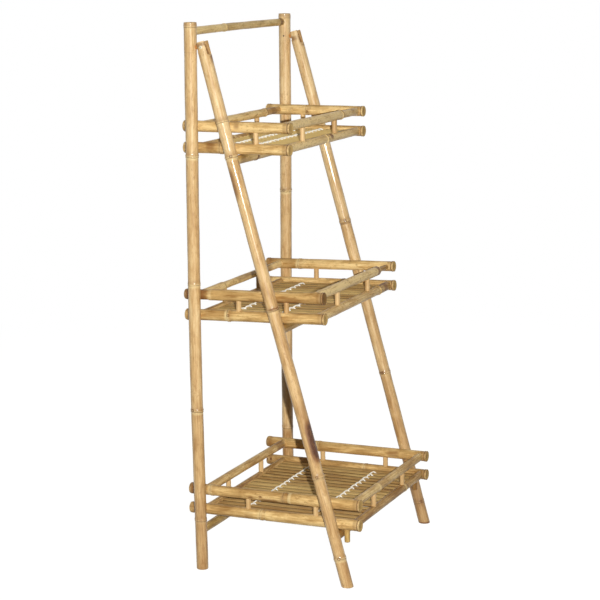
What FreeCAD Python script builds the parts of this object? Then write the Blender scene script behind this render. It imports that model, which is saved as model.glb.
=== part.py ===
"""Folding bamboo etagere: an upright rear frame, a leaning front frame hinged near its top,
and three trays that turn on the rear posts and rest on the front frame's crossbars.

Frame: +X to the right, -Y to the front, +Z up, origin on the floor at the middle of the outline.
Left pieces lie at -X. Lengths are millimetres, angles are degrees. A share is a part of the
length that it follows, counted from the left end, the rear end or the foot of a pole.
"""
import FreeCAD
import Part
import math
import os

# Rear frame
post_height = 1100.0
post_spacing = 454.7
post_foot_radius = 12.1
post_top_radius = 12.7
top_bar_drop = 17.6
top_bar_radius = 7.6
top_bar_tenon_radius = 5.0
stretcher_drop = 37.5
stretcher_radius = 8.7
frame_tenon_length = 9.0
left_post_node_shares = (0.0927, 0.299, 0.532, 0.763, 0.9945)
right_post_node_shares = (0.19, 0.42, 0.652, 0.884, 0.9945)
top_bar_node_shares = (0.335,)
stretcher_node_shares = (0.42,)

# Front frame
foot_forward = 318.6
hinge_forward = 29.0
hinge_drop = 47.0
leg_foot_radius = 12.0
leg_top_radius = 12.6
leg_top_rise = 10.5
crossbar_radius = 8.9
left_leg_node_shares = (0.062, 0.211, 0.516, 0.799, 0.853)
right_leg_node_shares = (0.052, 0.3155, 0.62)
crossbar_node_shares = {"top": (0.32,), "middle": (0.58,), "bottom": (0.3,)}

# Hinge between the two frames
tongue_radius = 5.0
tongue_in_post = 9.0
tongue_past_pin = 5.0
ear_thickness = 3.6
slot_gap = 0.35
leg_solid_top = 40.0
hinge_pin_radius = 2.0
screw_head_radius = 3.6
screw_head_height = 1.3
nail_radius = 0.9
nail_length = 14.0
nail_forward = 5.0
nail_head_radius = 1.7
nail_head_height = 0.5

# Trays
side_rail_rear_radius = 11.2
side_rail_front_radius = 10.8
cross_rail_radius = 8.6
cross_rail_tenon_radius = 6.0
cross_rail_tenon_length = 14.0
front_rail_inset = 15.0
pivot_dowel_radius = 4.0
pivot_dowel_in_rail = 26.0
pivot_dowel_in_post = 10.0
spacer_radius = 5.3
spacer_seat = 4.4
rest_gap = 0.3
tray_lift = 90.0
peg_radius = 5.8
peg_hang = 25.5
peg_seat = 12.0
trays = {
    "top": {
        "height_share": 0.7773, "rail_gap": 42.0, "inset": 27.0, "front_reach": 194.4, "rear_reach": 29.0,
        "tilt": 0.0, "slats": 21, "lacing_shares": (0.33, 0.61), "front_upper_radius": 9.5,
        "side_spacer_shares": (0.372, 0.688), "front_spacer_shares": (0.255, 0.675),
        "rear_spacer_shares": (0.27, 0.7),
        "side_node_shares": {"upper_left": (), "upper_right": (), "lower_left": (), "lower_right": ()},
        "cross_node_shares": {"front_upper": (0.84,), "front_lower": (0.59,),
                              "rear_upper": (0.83,), "rear_lower": (0.4,)},
    },
    "middle": {
        "height_share": 0.4732, "rail_gap": 41.0, "inset": 27.0, "front_reach": 262.4, "rear_reach": 34.0,
        "tilt": 1.5, "slats": 15, "lacing_shares": (0.265, 0.655), "front_upper_radius": 9.8,
        "side_spacer_shares": (0.39, 0.738), "front_spacer_shares": (0.278, 0.694),
        "rear_spacer_shares": (0.27, 0.69),
        "side_node_shares": {"upper_left": (0.17,), "upper_right": (0.28,),
                             "lower_left": (0.29,), "lower_right": (0.6,)},
        "cross_node_shares": {"front_upper": (0.08,), "front_lower": (0.46,),
                              "rear_upper": (0.6,), "rear_lower": (0.35,)},
    },
    "bottom": {
        "height_share": 0.1068, "rail_gap": 40.5, "inset": 30.0, "front_reach": 336.1, "rear_reach": 39.5,
        "tilt": 0.0, "slats": 17, "lacing_shares": (0.25, 0.705), "front_upper_radius": 8.6,
        "side_spacer_shares": (0.352, 0.744), "front_spacer_shares": (0.28, 0.701),
        "rear_spacer_shares": (0.262, 0.68),
        "side_node_shares": {"upper_left": (0.18, 0.545), "upper_right": (0.33,),
                             "lower_left": (0.416,), "lower_right": (0.62,)},
        "cross_node_shares": {"front_upper": (0.31,), "front_lower": (0.72,),
                              "rear_upper": (0.5,), "rear_lower": (0.6,)},
    },
}

# Slats, battens and lacing
slat_rise = 4.0
slat_thickness = 3.6
slat_edge_thickness = 2.6
slat_gap = 2.8
slat_seat = 3.5
slat_end_gap = 0.3
field_margin = 0.5
batten_width = 14.0
batten_thickness = 5.0
batten_round = 2.0
batten_seat = 8.0
cord_radius = 0.9
cord_gap = 0.15
cord_bend_radius = 2.4
cord_tail = 3.0

# Culm: what every bamboo pole has
pole_wall = 3.6
thin_pole_wall = 3.0
node_rise = 0.8
node_half_width = 2.8
end_node_inset = 2.9
end_chamfer = 0.9
web = 3.0
end_web = 9.0
fit = 0.05
running_fit = 0.08

X_AXIS = FreeCAD.Vector(1, 0, 0)
Y_AXIS = FreeCAD.Vector(0, 1, 0)
Z_AXIS = FreeCAD.Vector(0, 0, 1)
full_turn = 360.0

# The origin halves the depth, which runs from the bottom tray's front ends to its rear ends
bottom = trays["bottom"]
for tray in trays.values():
    tray["height"] = tray["height_share"] * post_height
post_y = (bottom["front_reach"] - bottom["rear_reach"]) / 2
post_x = post_spacing / 2
top_bar_height = post_height - top_bar_drop
stretcher_height = bottom["height"] - stretcher_drop
hinge_height = post_height - hinge_drop
hinge_y = post_y - hinge_forward
foot_y = post_y - foot_forward
lean = math.degrees(math.atan((foot_forward - hinge_forward) / hinge_height))
nodes = {}


def point(x, y, z):
    """Returns a place in the part's own frame."""
    return FreeCAD.Vector(x, y, z)


def rod(start, end, radius):
    """Returns a plain round rod between two points."""
    return Part.makeCylinder(radius, (end - start).Length, start, end - start)


def block(low, high):
    """Returns a box between its lowest and highest corners."""
    size = high - low
    return Part.makeBox(size.x, size.y, size.z, low)


def joined(shapes):
    """Returns one solid made of shapes that meet."""
    return shapes[0].multiFuse(shapes[1:]).removeSplitter()


def tilted(shape, centre, angle):
    """Returns a copy turned about the X direction through a centre."""
    turned = shape.copy()
    turned.rotate(centre, X_AXIS, angle)
    return turned


def turned_bore(low, high, low_radius, high_radius):
    """Returns a bore along +Z that may taper."""
    if low_radius == high_radius:
        return Part.makeCylinder(low_radius, high - low, point(0, 0, low))
    return Part.makeCone(low_radius, high_radius, high - low, point(0, 0, low))


def culm(start, end, start_radius, end_radius, node_shares, wall, end_webs=(end_web, end_web)):
    """Returns a bamboo pole: tapered, ringed at its nodes, hollow between their webs."""
    length = (end - start).Length

    def radius_at(along):
        return start_radius + (end_radius - start_radius) * along / length

    rings = [share * length for share in node_shares]
    profile = [point(0, 0, 0), point(start_radius - end_chamfer, 0, 0), point(start_radius, 0, end_chamfer)]
    edges = [Part.LineSegment(a, b).toShape() for a, b in zip(profile, profile[1:])]
    last = profile[-1]
    for ring in rings:
        low, high = ring - node_half_width, ring + node_half_width
        foot = point(radius_at(low), 0, low)
        crest = point(radius_at(ring) + node_rise, 0, ring)
        head = point(radius_at(high), 0, high)
        edges.append(Part.LineSegment(last, foot).toShape())
        edges.append(Part.Arc(foot, crest, head).toShape())
        last = head
    closing = [last, point(end_radius, 0, length - end_chamfer), point(end_radius - end_chamfer, 0, length),
               point(0, 0, length), profile[0]]
    edges += [Part.LineSegment(a, b).toShape() for a, b in zip(closing, closing[1:])]
    pole = Part.Face(Part.Wire(edges)).revolve(point(0, 0, 0), Z_AXIS, full_turn)

    inner_rings = [ring for ring in rings if end_webs[0] < ring < length - end_webs[1]]
    floors = [end_webs[0]] + [ring + web / 2 for ring in inner_rings]
    ceilings = [ring - web / 2 for ring in inner_rings] + [length - end_webs[1]]
    bores = [turned_bore(low, high, radius_at(low) - wall, radius_at(high) - wall)
             for low, high in zip(floors, ceilings)]
    pole = pole.cut(bores)
    pole.Placement = FreeCAD.Placement(start, FreeCAD.Rotation(Z_AXIS, end - start)).multiply(pole.Placement)
    return pole


def crosspiece(half_span, y, z, radius, carrier_radius, tenon_radius, tenon_length, node_shares, wall):
    """Returns a pole along X, saddled against the poles at its two ends and tenoned into them."""
    ends = [point(side * half_span, y, z) for side in (-1, 1)]
    webs = (carrier_radius + end_web, carrier_radius + end_web)
    pole = culm(ends[0], ends[1], radius, radius, node_shares, wall, webs)
    return pole, ends, [tenon(side, half_span, y, z, carrier_radius, tenon_radius, tenon_length)
                        for side in (-1, 1)]


def tenon(side, half_span, y, z, carrier_radius, tenon_radius, tenon_length):
    """Returns the round tenon at one end of a crosspiece."""
    root = half_span - carrier_radius - tenon_radius
    tip = half_span - carrier_radius + tenon_length
    return rod(point(side * root, y, z), point(side * tip, y, z), tenon_radius)


def tenon_hole(side, half_span, y, z, carrier_radius, tenon_radius, tenon_length):
    """Returns the hole that takes such a tenon, open towards the middle."""
    mouth = half_span - carrier_radius - tenon_radius
    floor = half_span - carrier_radius + tenon_length + fit
    return rod(point(side * mouth, y, z), point(side * floor, y, z), tenon_radius + fit)


def build_rear_frame():
    """Adds the posts, the bar and the stretcher between them, and the hinge tongues."""
    bar = (top_bar_height, top_bar_radius, top_bar_tenon_radius, top_bar_node_shares, "top_bar")
    stretcher = (stretcher_height, stretcher_radius, cross_rail_tenon_radius, stretcher_node_shares,
                 "rear_stretcher")
    tongues, nails = [], []
    for side, name, shares in ((-1, "rear_post_left", left_post_node_shares),
                               (1, "rear_post_right", right_post_node_shares)):
        x = side * post_x
        post = culm(point(x, post_y, 0), point(x, post_y, post_height), post_foot_radius,
                    post_top_radius, shares, pole_wall)
        holes = [tenon_hole(side, post_x, post_y, height, post_top_radius, tenon_radius,
                            frame_tenon_length)
                 for height, _, tenon_radius, _, _ in (bar, stretcher)]
        tongue_rear = point(x, post_y + tongue_in_post, hinge_height)
        tongue_tip = point(x, hinge_y - tongue_past_pin, hinge_height)
        holes.append(rod(tongue_rear + Y_AXIS * fit, tongue_tip, tongue_radius + fit))
        for tray in trays.values():
            floor = x + side * (pivot_dowel_in_post - post_top_radius + running_fit)
            holes.append(rod(point(0, post_y, tray["height"]), point(floor, post_y, tray["height"]),
                             pivot_dowel_radius + running_fit))
        nail_x = math.sqrt(post_top_radius ** 2 - (nail_forward - nail_head_radius) ** 2)
        nail_mouth = point(x - side * nail_x, post_y - nail_forward, hinge_height)
        nail_point = nail_mouth + X_AXIS * (side * nail_length)
        nail_bed = rod(nail_mouth, nail_point, nail_radius + fit)
        nodes[name] = post.cut(holes + [nail_bed])

        tongue = rod(tongue_rear, tongue_tip, tongue_radius)
        pin_hole = rod(point(x - tongue_radius, hinge_y, hinge_height),
                       point(x + tongue_radius, hinge_y, hinge_height), hinge_pin_radius + running_fit)
        tongues.append(tongue.cut([pin_hole, nail_bed]))
        head = rod(nail_mouth - X_AXIS * (side * nail_head_height), nail_mouth, nail_head_radius)
        nails.append(joined([rod(nail_mouth, nail_point, nail_radius), head]))
    nodes["hinge_tongues"] = Part.makeCompound(tongues)
    nodes["tongue_nails"] = Part.makeCompound(nails)

    for height, radius, tenon_radius, shares, name in (bar, stretcher):
        pole, ends, tenons = crosspiece(post_x, post_y, height, radius, post_top_radius, tenon_radius,
                                        frame_tenon_length, shares, thin_pole_wall)
        posts = [rod(point(end.x, post_y, 0), point(end.x, post_y, post_height), post_top_radius + fit)
                 for end in ends]
        nodes[name] = joined([pole.cut(posts)] + tenons)


def leg_point(height):
    """Returns where the left leg's axis passes a height, with x left at zero."""
    return point(0, hinge_y - (hinge_height - height) * math.tan(math.radians(lean)), height)


def crossbar_place(tray):
    """Returns where the bar that carries a tray crosses, under its lower side rails."""
    slope = math.radians(tray["tilt"])
    drop = (side_rail_rear_radius + rest_gap) / math.cos(slope) + crossbar_radius / math.cos(slope)
    guess = leg_point(tray["height"] - drop)
    forward = post_y - guess.y
    return leg_point(tray["height"] + forward * math.tan(slope) - drop)


def build_front_frame():
    """Adds the legs, their crossbars and the screws that the legs turn on."""
    lean_way = point(0, math.sin(math.radians(lean)), math.cos(math.radians(lean)))
    hinge = point(0, hinge_y, hinge_height)
    foot = leg_point(0)
    screws = []
    places = {name: crossbar_place(tray) for name, tray in trays.items()}
    for side, name, shares in ((-1, "front_leg_left", left_leg_node_shares),
                               (1, "front_leg_right", right_leg_node_shares)):
        across = X_AXIS * (side * post_x)
        start = across + foot - lean_way * leg_foot_radius
        end = across + hinge + lean_way * leg_top_rise
        leg = culm(start, end, leg_foot_radius, leg_top_radius, shares, pole_wall,
                   (end_web + leg_foot_radius, leg_solid_top))
        under_floor = block(across + foot - point(leg_foot_radius * 2, leg_foot_radius * 2, leg_foot_radius * 2),
                            across + foot + point(leg_foot_radius * 2, leg_foot_radius * 2, 0))
        slot_x = leg_top_radius - ear_thickness
        lean_rise = leg_top_radius * math.sin(math.radians(lean))
        slot_floor = (tongue_radius + slot_gap + lean_rise) / math.cos(math.radians(lean))
        slot = block(across + hinge - point(slot_x, leg_top_radius * 2, slot_floor),
                     across + hinge + point(slot_x, leg_top_radius * 2, leg_top_rise * 2))
        holes = [tenon_hole(side, post_x, place.y, place.z, leg_top_radius, cross_rail_tenon_radius,
                            frame_tenon_length) for place in places.values()]
        outer = across + hinge + X_AXIS * (side * leg_top_radius)
        inner = across + hinge - X_AXIS * (side * leg_top_radius)
        holes.append(rod(inner, outer, hinge_pin_radius + fit))
        nodes[name] = leg.cut([under_floor, slot] + holes)
        head = rod(outer, outer + X_AXIS * (side * screw_head_height), screw_head_radius)
        rim = head.Edges[0] if abs(head.Edges[0].CenterOfMass.x) > abs(outer.x) else head.Edges[-1]
        head = head.makeFillet(screw_head_height / 2, [rim])
        screws.append(joined([rod(inner, outer, hinge_pin_radius), head]))
    nodes["hinge_screws"] = Part.makeCompound(screws)

    for name, place in places.items():
        pole, ends, tenons = crosspiece(post_x, place.y, place.z, crossbar_radius, leg_top_radius,
                                        cross_rail_tenon_radius, frame_tenon_length,
                                        crossbar_node_shares[name], thin_pole_wall)
        legs = [rod(point(end.x, foot.y, 0), point(end.x, hinge.y, hinge.z), leg_top_radius + fit)
                for end in ends]
        nodes["crossbar_" + name] = joined([pole.cut(legs)] + tenons)


def slat(x, width, rear_y, front_y, top_z):
    """Returns one split strip, flat below and crowned above, from the rear to the front."""
    low, shoulder = top_z - slat_thickness, top_z - slat_thickness + slat_edge_thickness
    corners = [point(x - width / 2, rear_y, low), point(x + width / 2, rear_y, low),
               point(x + width / 2, rear_y, shoulder), point(x - width / 2, rear_y, shoulder)]
    sides = [Part.LineSegment(corners[3], corners[0]), Part.LineSegment(corners[0], corners[1]),
             Part.LineSegment(corners[1], corners[2]),
             Part.Arc(corners[2], point(x, rear_y, top_z), corners[3])]
    section = Part.Face(Part.Wire([side.toShape() for side in sides]))
    return section.extrude(Y_AXIS * (front_y - rear_y))


def batten(half_length, y, top_z):
    """Returns one strip along X under the slats, with its long edges rounded."""
    strip = block(point(-half_length, y - batten_width / 2, top_z - batten_thickness),
                  point(half_length, y + batten_width / 2, top_z))
    long_edges = [edge for edge in strip.Edges if edge.Length > half_length]
    return strip.makeFillet(batten_round, long_edges)


def rounded_path(corners, radius):
    """Returns a wire of straight runs joined by arcs of one radius, and its sample points."""
    edges, samples, last = [], [corners[0]], corners[0]
    for before, corner, after in zip(corners, corners[1:], corners[2:]):
        arriving = (corner - before).normalize()
        leaving = (after - corner).normalize()
        turn = arriving.getAngle(leaving)
        setback = radius * math.tan(turn / 2)
        begin, finish = corner - arriving * setback, corner + leaving * setback
        inward = (leaving - arriving).normalize()
        middle = corner + inward * (radius / math.cos(turn / 2) - radius)
        edges.append(Part.LineSegment(last, begin).toShape())
        edges.append(Part.Arc(begin, middle, finish).toShape())
        samples += [begin, middle, finish]
        last = finish
    edges.append(Part.LineSegment(last, corners[-1]).toShape())
    return Part.Wire(edges), samples + [corners[-1]]


def least_gap(samples, turn_samples, diameter):
    """Returns the least gap between one turn of a winding and those after it."""
    gaps = [(a - b).Length for index, a in enumerate(samples) for b in samples[index + turn_samples:]]
    return min(gaps) - diameter


def lacing(name, gaps_x, y, slat_top):
    """Returns one row of lacing: a cord wound round a batten, once in every gap between slats."""
    reach = batten_width / 2 + cord_gap + cord_radius
    high = slat_top + cord_gap + cord_radius
    low = slat_top - slat_thickness - batten_thickness - cord_gap - cord_radius
    corners = [point(gaps_x[0], y - reach + cord_bend_radius + cord_tail, low)]
    for gap in gaps_x[1:-1]:
        corners += [point(gap, y + reach, low), point(gap, y + reach, high)]
        following = gaps_x[gaps_x.index(gap) + 1]
        corners += [point(following, y - reach, high), point(following, y - reach, low)]
    corners[0] = point(gaps_x[1], y - reach + cord_bend_radius + cord_tail, low)
    corners.append(point(gaps_x[-1], y + reach - cord_bend_radius - cord_tail, low))
    path, samples = rounded_path(corners, cord_bend_radius)
    start_way = corners[1] - corners[0]
    section = Part.Wire([Part.Circle(corners[0], start_way, cord_radius).toShape()])
    cord = path.makePipeShell([section], True, False)
    expected = math.pi * cord_radius ** 2 * path.Length
    loops = len(gaps_x) - 1
    gap = least_gap(samples, len(samples) // loops, cord_radius * 2)
    print(f"{name}: {loops} loops, {path.Length:.0f} long, volume share {cord.Volume / expected:.4f}, "
          f"least gap to itself {gap:.2f}")
    return cord


def build_tray(name, tray):
    """Adds one tray: its rails, spacers, slats, battens, lacing and pivot dowels."""
    rail_x = post_x - tray["inset"]
    lower_z = tray["height"]
    upper_z = lower_z + tray["rail_gap"]
    front_y, rear_y = post_y - tray["front_reach"], post_y + tray["rear_reach"]
    front_rail_y = front_y + front_rail_inset
    field_half = rail_x - side_rail_rear_radius - field_margin
    slat_top = lower_z + slat_rise
    rail_length = tray["front_reach"] + tray["rear_reach"]
    side_y = [rear_y - share * rail_length for share in tray["side_spacer_shares"]]
    cross_rails = {"front_upper": (front_rail_y, upper_z), "front_lower": (front_rail_y, lower_z),
                   "rear_upper": (post_y, upper_z), "rear_lower": (post_y, lower_z)}
    batten_y = [post_y - share * (post_y - front_rail_y) for share in tray["lacing_shares"]]
    batten_top = slat_top - slat_thickness
    batten_half = rail_x - side_rail_rear_radius + batten_seat

    spacer_span = (lower_z + cross_rail_radius - spacer_seat, upper_z - cross_rail_radius + spacer_seat)
    side_span = (lower_z + side_rail_front_radius - spacer_seat, upper_z - side_rail_front_radius + spacer_seat)
    places = [(side * rail_x, y, side_span) for side in (-1, 1) for y in side_y]
    for shares, y in ((tray["front_spacer_shares"], front_rail_y), (tray["rear_spacer_shares"], post_y)):
        places += [((2 * share - 1) * rail_x, y, spacer_span) for share in shares]
    spacers = [rod(point(x, y, span[0]), point(x, y, span[1]), spacer_radius) for x, y, span in places]
    seats = [rod(point(x, y, span[0] - fit), point(x, y, span[1] + fit), spacer_radius + fit)
             for x, y, span in places]

    pieces = {}
    pegs, peg_holes = peg_row(rail_x, lower_z) if name == "bottom" else ([], [])
    for side, hand in ((-1, "left"), (1, "right")):
        sockets = [tenon_hole(side, rail_x, y, z, side_rail_rear_radius, cross_rail_tenon_radius,
                              cross_rail_tenon_length) for y, z in cross_rails.values()]
        outer = point(side * (post_x - post_top_radius + pivot_dowel_in_post), post_y, lower_z)
        inner = point(side * (rail_x - pivot_dowel_in_rail), post_y, lower_z)
        dowel = rod(inner, outer, pivot_dowel_radius)
        dowel_hole = rod(inner - X_AXIS * (side * fit), outer, pivot_dowel_radius + fit)
        mortises = [block(point(-batten_half - fit, y - batten_width / 2 - fit, batten_top - batten_thickness - fit),
                          point(batten_half + fit, y + batten_width / 2 + fit, batten_top + fit))
                    for y in batten_y]
        for level, z in (("upper", upper_z), ("lower", lower_z)):
            ring = end_node_inset / rail_length
            shares = (ring,) + tray["side_node_shares"][f"{level}_{hand}"] + (1 - ring,)
            rail = culm(point(side * rail_x, rear_y, z), point(side * rail_x, front_y, z),
                        side_rail_rear_radius, side_rail_front_radius, shares, pole_wall)
            cuts = sockets + seats
            if level == "lower":
                cuts = cuts + [dowel_hole] + mortises + peg_holes
            pieces[f"{name}_side_rail_{level}_{hand}"] = rail.cut(cuts)
        pieces.setdefault(f"{name}_pivot_dowels", []).append((dowel, dowel_hole))

    dowels = pieces.pop(f"{name}_pivot_dowels")
    pieces[f"{name}_pivot_dowels"] = Part.makeCompound([dowel for dowel, _ in dowels])
    groove = block(point(-field_half, front_rail_y + cross_rail_radius - slat_seat - slat_end_gap - fit,
                         slat_top - slat_thickness - fit),
                   point(field_half, post_y - cross_rail_radius + slat_seat + slat_end_gap + fit,
                         slat_top + fit))
    side_rails = [rod(point(side * rail_x, front_y, z), point(side * rail_x, rear_y, z),
                      side_rail_rear_radius + fit) for side in (-1, 1) for z in (upper_z, lower_z)]
    for key, (y, z) in cross_rails.items():
        radius = tray["front_upper_radius"] if key == "front_upper" else cross_rail_radius
        pole, _, tenons = crosspiece(rail_x, y, z, radius, side_rail_rear_radius,
                                     cross_rail_tenon_radius, cross_rail_tenon_length,
                                     tray["cross_node_shares"][key], thin_pole_wall)
        rail = joined([pole.cut(side_rails)] + tenons)
        cuts = list(seats)
        if key == "rear_lower":
            cuts += [hole for _, hole in dowels]
        if key.endswith("lower"):
            cuts.append(groove)
        pieces[f"{name}_cross_rail_{key}"] = rail.cut(cuts)

    pitch = 2 * field_half / tray["slats"]
    centres = [-field_half + pitch * (index + 1 / 2) for index in range(tray["slats"])]
    gaps_x = [-field_half + pitch * index for index in range(tray["slats"] + 1)]
    slat_rear = post_y - cross_rail_radius + slat_seat
    slat_front = front_rail_y + cross_rail_radius - slat_seat
    pieces[f"{name}_slats"] = Part.makeCompound(
        [slat(x, pitch - slat_gap, slat_rear, slat_front, slat_top) for x in centres])
    pieces[f"{name}_battens"] = Part.makeCompound([batten(batten_half, y, batten_top) for y in batten_y])
    pieces[f"{name}_lacing"] = Part.makeCompound(
        [lacing(f"{name} lacing", gaps_x[:-1], y, slat_top) for y in batten_y])
    pieces[f"{name}_spacers"] = Part.makeCompound(spacers)
    if pegs:
        pieces[f"{name}_pegs"] = Part.makeCompound(pegs)

    pivot = point(0, post_y, lower_z)
    for node, shape in pieces.items():
        nodes[node] = tilted(shape, pivot, -tray["tilt"]) if tray["tilt"] else shape


def peg_row(rail_x, lower_z):
    """Returns the two pegs that hook in front of the bottom crossbar, and their holes."""
    bar = crossbar_place(bottom)
    y = bar.y - crossbar_radius - rest_gap - peg_radius
    under = lower_z - side_rail_front_radius
    pegs = [rod(point(side * rail_x, y, under - peg_hang), point(side * rail_x, y, under + peg_seat), peg_radius)
            for side in (-1, 1)]
    holes = [rod(point(side * rail_x, y, under - peg_hang), point(side * rail_x, y, under + peg_seat + fit),
                 peg_radius + fit) for side in (-1, 1)]
    return pegs, holes


def main():
    """Builds every node and writes one file for each."""
    build_rear_frame()
    build_front_frame()
    for name, tray in trays.items():
        build_tray(name, tray)
    os.makedirs("parts", exist_ok=True)
    for name, shape in nodes.items():
        shape.exportStep(f"parts/{name}.step")
    print(f"{len(nodes)} nodes, lean {lean:.2f} degrees, posts at y {post_y:.2f}")


main()
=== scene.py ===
"""A folding bamboo etagere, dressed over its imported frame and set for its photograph.

Lengths are metres unless a name says otherwise. +X is right, -Y is front and +Z is up.
"""
from __future__ import annotations

import logging
import math
from dataclasses import dataclass
from enum import Enum
from functools import reduce

import bpy
import numpy as np
from bpy.types import Material, Mesh, Modifier, Node, NodeOutputs, NodeSocket, NodeTree, Object
from mathutils import Matrix, Vector


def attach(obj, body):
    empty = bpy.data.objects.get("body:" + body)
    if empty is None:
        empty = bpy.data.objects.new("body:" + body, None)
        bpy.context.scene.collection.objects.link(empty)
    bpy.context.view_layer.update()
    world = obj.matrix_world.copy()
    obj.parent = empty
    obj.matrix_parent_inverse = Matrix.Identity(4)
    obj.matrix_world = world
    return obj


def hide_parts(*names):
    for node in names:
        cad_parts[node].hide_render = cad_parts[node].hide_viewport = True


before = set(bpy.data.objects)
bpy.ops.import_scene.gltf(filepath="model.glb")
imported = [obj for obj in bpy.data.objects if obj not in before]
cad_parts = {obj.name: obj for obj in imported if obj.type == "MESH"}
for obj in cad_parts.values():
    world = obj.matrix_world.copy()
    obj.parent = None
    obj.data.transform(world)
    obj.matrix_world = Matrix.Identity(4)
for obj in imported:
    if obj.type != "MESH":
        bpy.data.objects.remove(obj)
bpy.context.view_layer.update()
log = logging.getLogger("etagere")

MM = 0.001
POST_X = 227.35 * MM
POST_Y = 148.3 * MM
HINGE_FORWARD = 29.0 * MM
HINGE_HEIGHT = 1053.0 * MM
FOOT_FORWARD = 318.6 * MM
HINGE_Y = POST_Y - HINGE_FORWARD
LEAN = math.atan((FOOT_FORWARD - HINGE_FORWARD) / HINGE_HEIGHT)
TO_CAMERA = Vector((-0.9036, -0.3874, 0.1827))
ALL_ROUND = 180
FAR_FROM_NODE = 0.05
BAR_SHORT = 6 * MM
# Where mesh rings stand near a node and near an end, in millimetres.
NEAR_NODE = (-9, -6, -4, -3, -2.4, -1.9, -1.5, -1.2, -0.9, -0.6, -0.3, 0, 0.3, 0.7, 1.2, 1.8, 2.4, 3.0,
             3.8, 5, 7, 10)
NEAR_END = (0, 0.15, 0.4, 0.7, 1.1, 1.8, 3.0)
# The waves of a pole's skin: turns round it, length in metres and depth in millimetres.
WAVES = ((1, 0.21, 0.10), (2, 0.09, 0.10), (3, 0.05, 0.05), (0, 0.13, 0.12))
# The swellings and the groove of a node: share of its rise, middle and width in millimetres.
NODE_SHAPE = ((1.0, 2.4, 2.6), (0.7, -1.0, 0.7), (-0.45, 0.3, 0.5))
# The web that closes an end: radius share, depth in millimetres and bareness of each ring inwards.
WEB = ((0.985, 0.0, 0.6), (0.93, 0.02, 1), (0.84, 0.05, 1), (0.76, 0.25, 1), (0.5, 0.6, 1), (0.2, 0.75, 1))
# A batten's outline across and down, in millimetres.
BATTEN = ((-7, 0), (-6.9, -0.5), (-6.9, -3.2), (-6.2, -4.4), (-5, -4.9), (0, -5), (5, -4.9), (6.2, -4.4),
          (6.9, -3.2), (6.9, -0.5), (7, 0), (0, 0))
# A screw's radius and height pairs, and half of what each cut of its cross takes, in millimetres.
SCREW = ((2, -22), (2, 0), (3.6, 0.05), (3.7, 0.35), (3.4, 0.95), (2.7, 1.45), (1.7, 1.75), (0.6, 1.85))
CROSS = ((0, 1.9, 0.35), (0, 0.35, 1.9))
# Rings of colour at a side rail's front end: distance from it, half length and depth.
END_RINGS = ((9, 8, 0.6), (2, 2.5, -0.5), (4.6, 1.2, 1.2))


class EndCut(Enum):
    """How a pole ends."""

    SEPTUM = "cut just past a node, so the web closes it"
    OPEN = "cut between nodes, so the wall and the hollow show"
    BUTT = "plain, hidden in the pole it meets"


class Hand(Enum):
    """A side of the etagere."""

    LEFT = -1
    RIGHT = 1


@dataclass(frozen=True)
class NodeMark:
    """One node of a culm.

    share is its place along the pole, bud the angle of its bud scar in degrees with 0 towards
    the camera, rise its height in millimetres, and pale how much lighter its band is.
    """

    share: float
    bud: float | None = None
    rise: float = 0.8
    pale: float = 1.0


@dataclass(frozen=True)
class StainOrPaintedLight:
    """One patch on a culm: brown where depth is above zero, pale where it is below. Most patches are the
    pole's own stains; a few are painted shade and one is a painted highlight.

    reach is its half length in millimetres, and angle and spread are degrees round the pole.
    """

    share: float
    reach: float
    angle: float = 0.0
    spread: float = ALL_ROUND
    depth: float = 1.0


def ring(share: float, reach: float, depth: float) -> StainOrPaintedLight:
    """Returns a patch that goes all round the pole: mostly a stain, but painted shade low on the far leg and
    on the far peg.
    """
    return StainOrPaintedLight(share, reach, 0, ALL_ROUND, depth)


def bell(distance: np.ndarray) -> np.ndarray:
    """Returns a bell curve, 1 at no distance."""
    return np.exp(-distance ** 2)


def turn_from(angle: np.ndarray, degrees: float) -> np.ndarray:
    """Returns how far each angle lies from a given one, from -pi to pi."""
    return np.angle(np.exp(1j * (angle - math.radians(degrees))))


def grid_faces(rows: int, sides: int, flip: bool = False) -> list[tuple[int, ...]]:
    """Lists the quads between closed rings of vertices.

    Args:
        rows: how many rings there are.
        sides: how many vertices each ring has.
        flip: whether the quads face the other way.
    Returns:
        The quads.
    """
    faces = []
    for low in range(0, (rows - 1) * sides, sides):
        for k in range(sides):
            n = (k + 1) % sides
            quad = (low + k, low + n, low + sides + n, low + sides + k)
            faces.append((quad[0], quad[3], quad[2], quad[1]) if flip else quad)
    return faces


def capped_faces(rows: int, sides: int, flip: bool = False) -> list[tuple[int, ...]]:
    """Returns the quads of grid_faces and a flat cap at each end."""
    caps = [tuple(reversed(range(sides))), tuple(range((rows - 1) * sides, rows * sides))]
    return grid_faces(rows, sides, flip) + [tuple(reversed(cap)) if flip else cap for cap in caps]


def new_piece(name: str, vertices: list, faces: list) -> Object:
    """Makes a smooth mesh object at the origin.

    Args:
        name: the object's name.
        vertices: its vertices' places.
        faces: its faces as vertex numbers.
    Returns:
        The new object, in the scene.
    """
    mesh = bpy.data.meshes.new(name)
    mesh.from_pydata([tuple(place) for place in vertices], [], faces)
    mesh.shade_smooth()
    piece = bpy.data.objects.new(name, mesh)
    bpy.context.scene.collection.objects.link(piece)
    return piece


def name_values(mesh: Mesh, name: str, values: np.ndarray) -> None:
    """Gives a mesh a named number or vector for each vertex."""
    values = np.asarray(values, float)
    kind, key = ("FLOAT_VECTOR", "vector") if values.ndim == 2 else ("FLOAT", "value")
    mesh.attributes.new(name, kind, "POINT").data.foreach_set(key, values.ravel())


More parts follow.
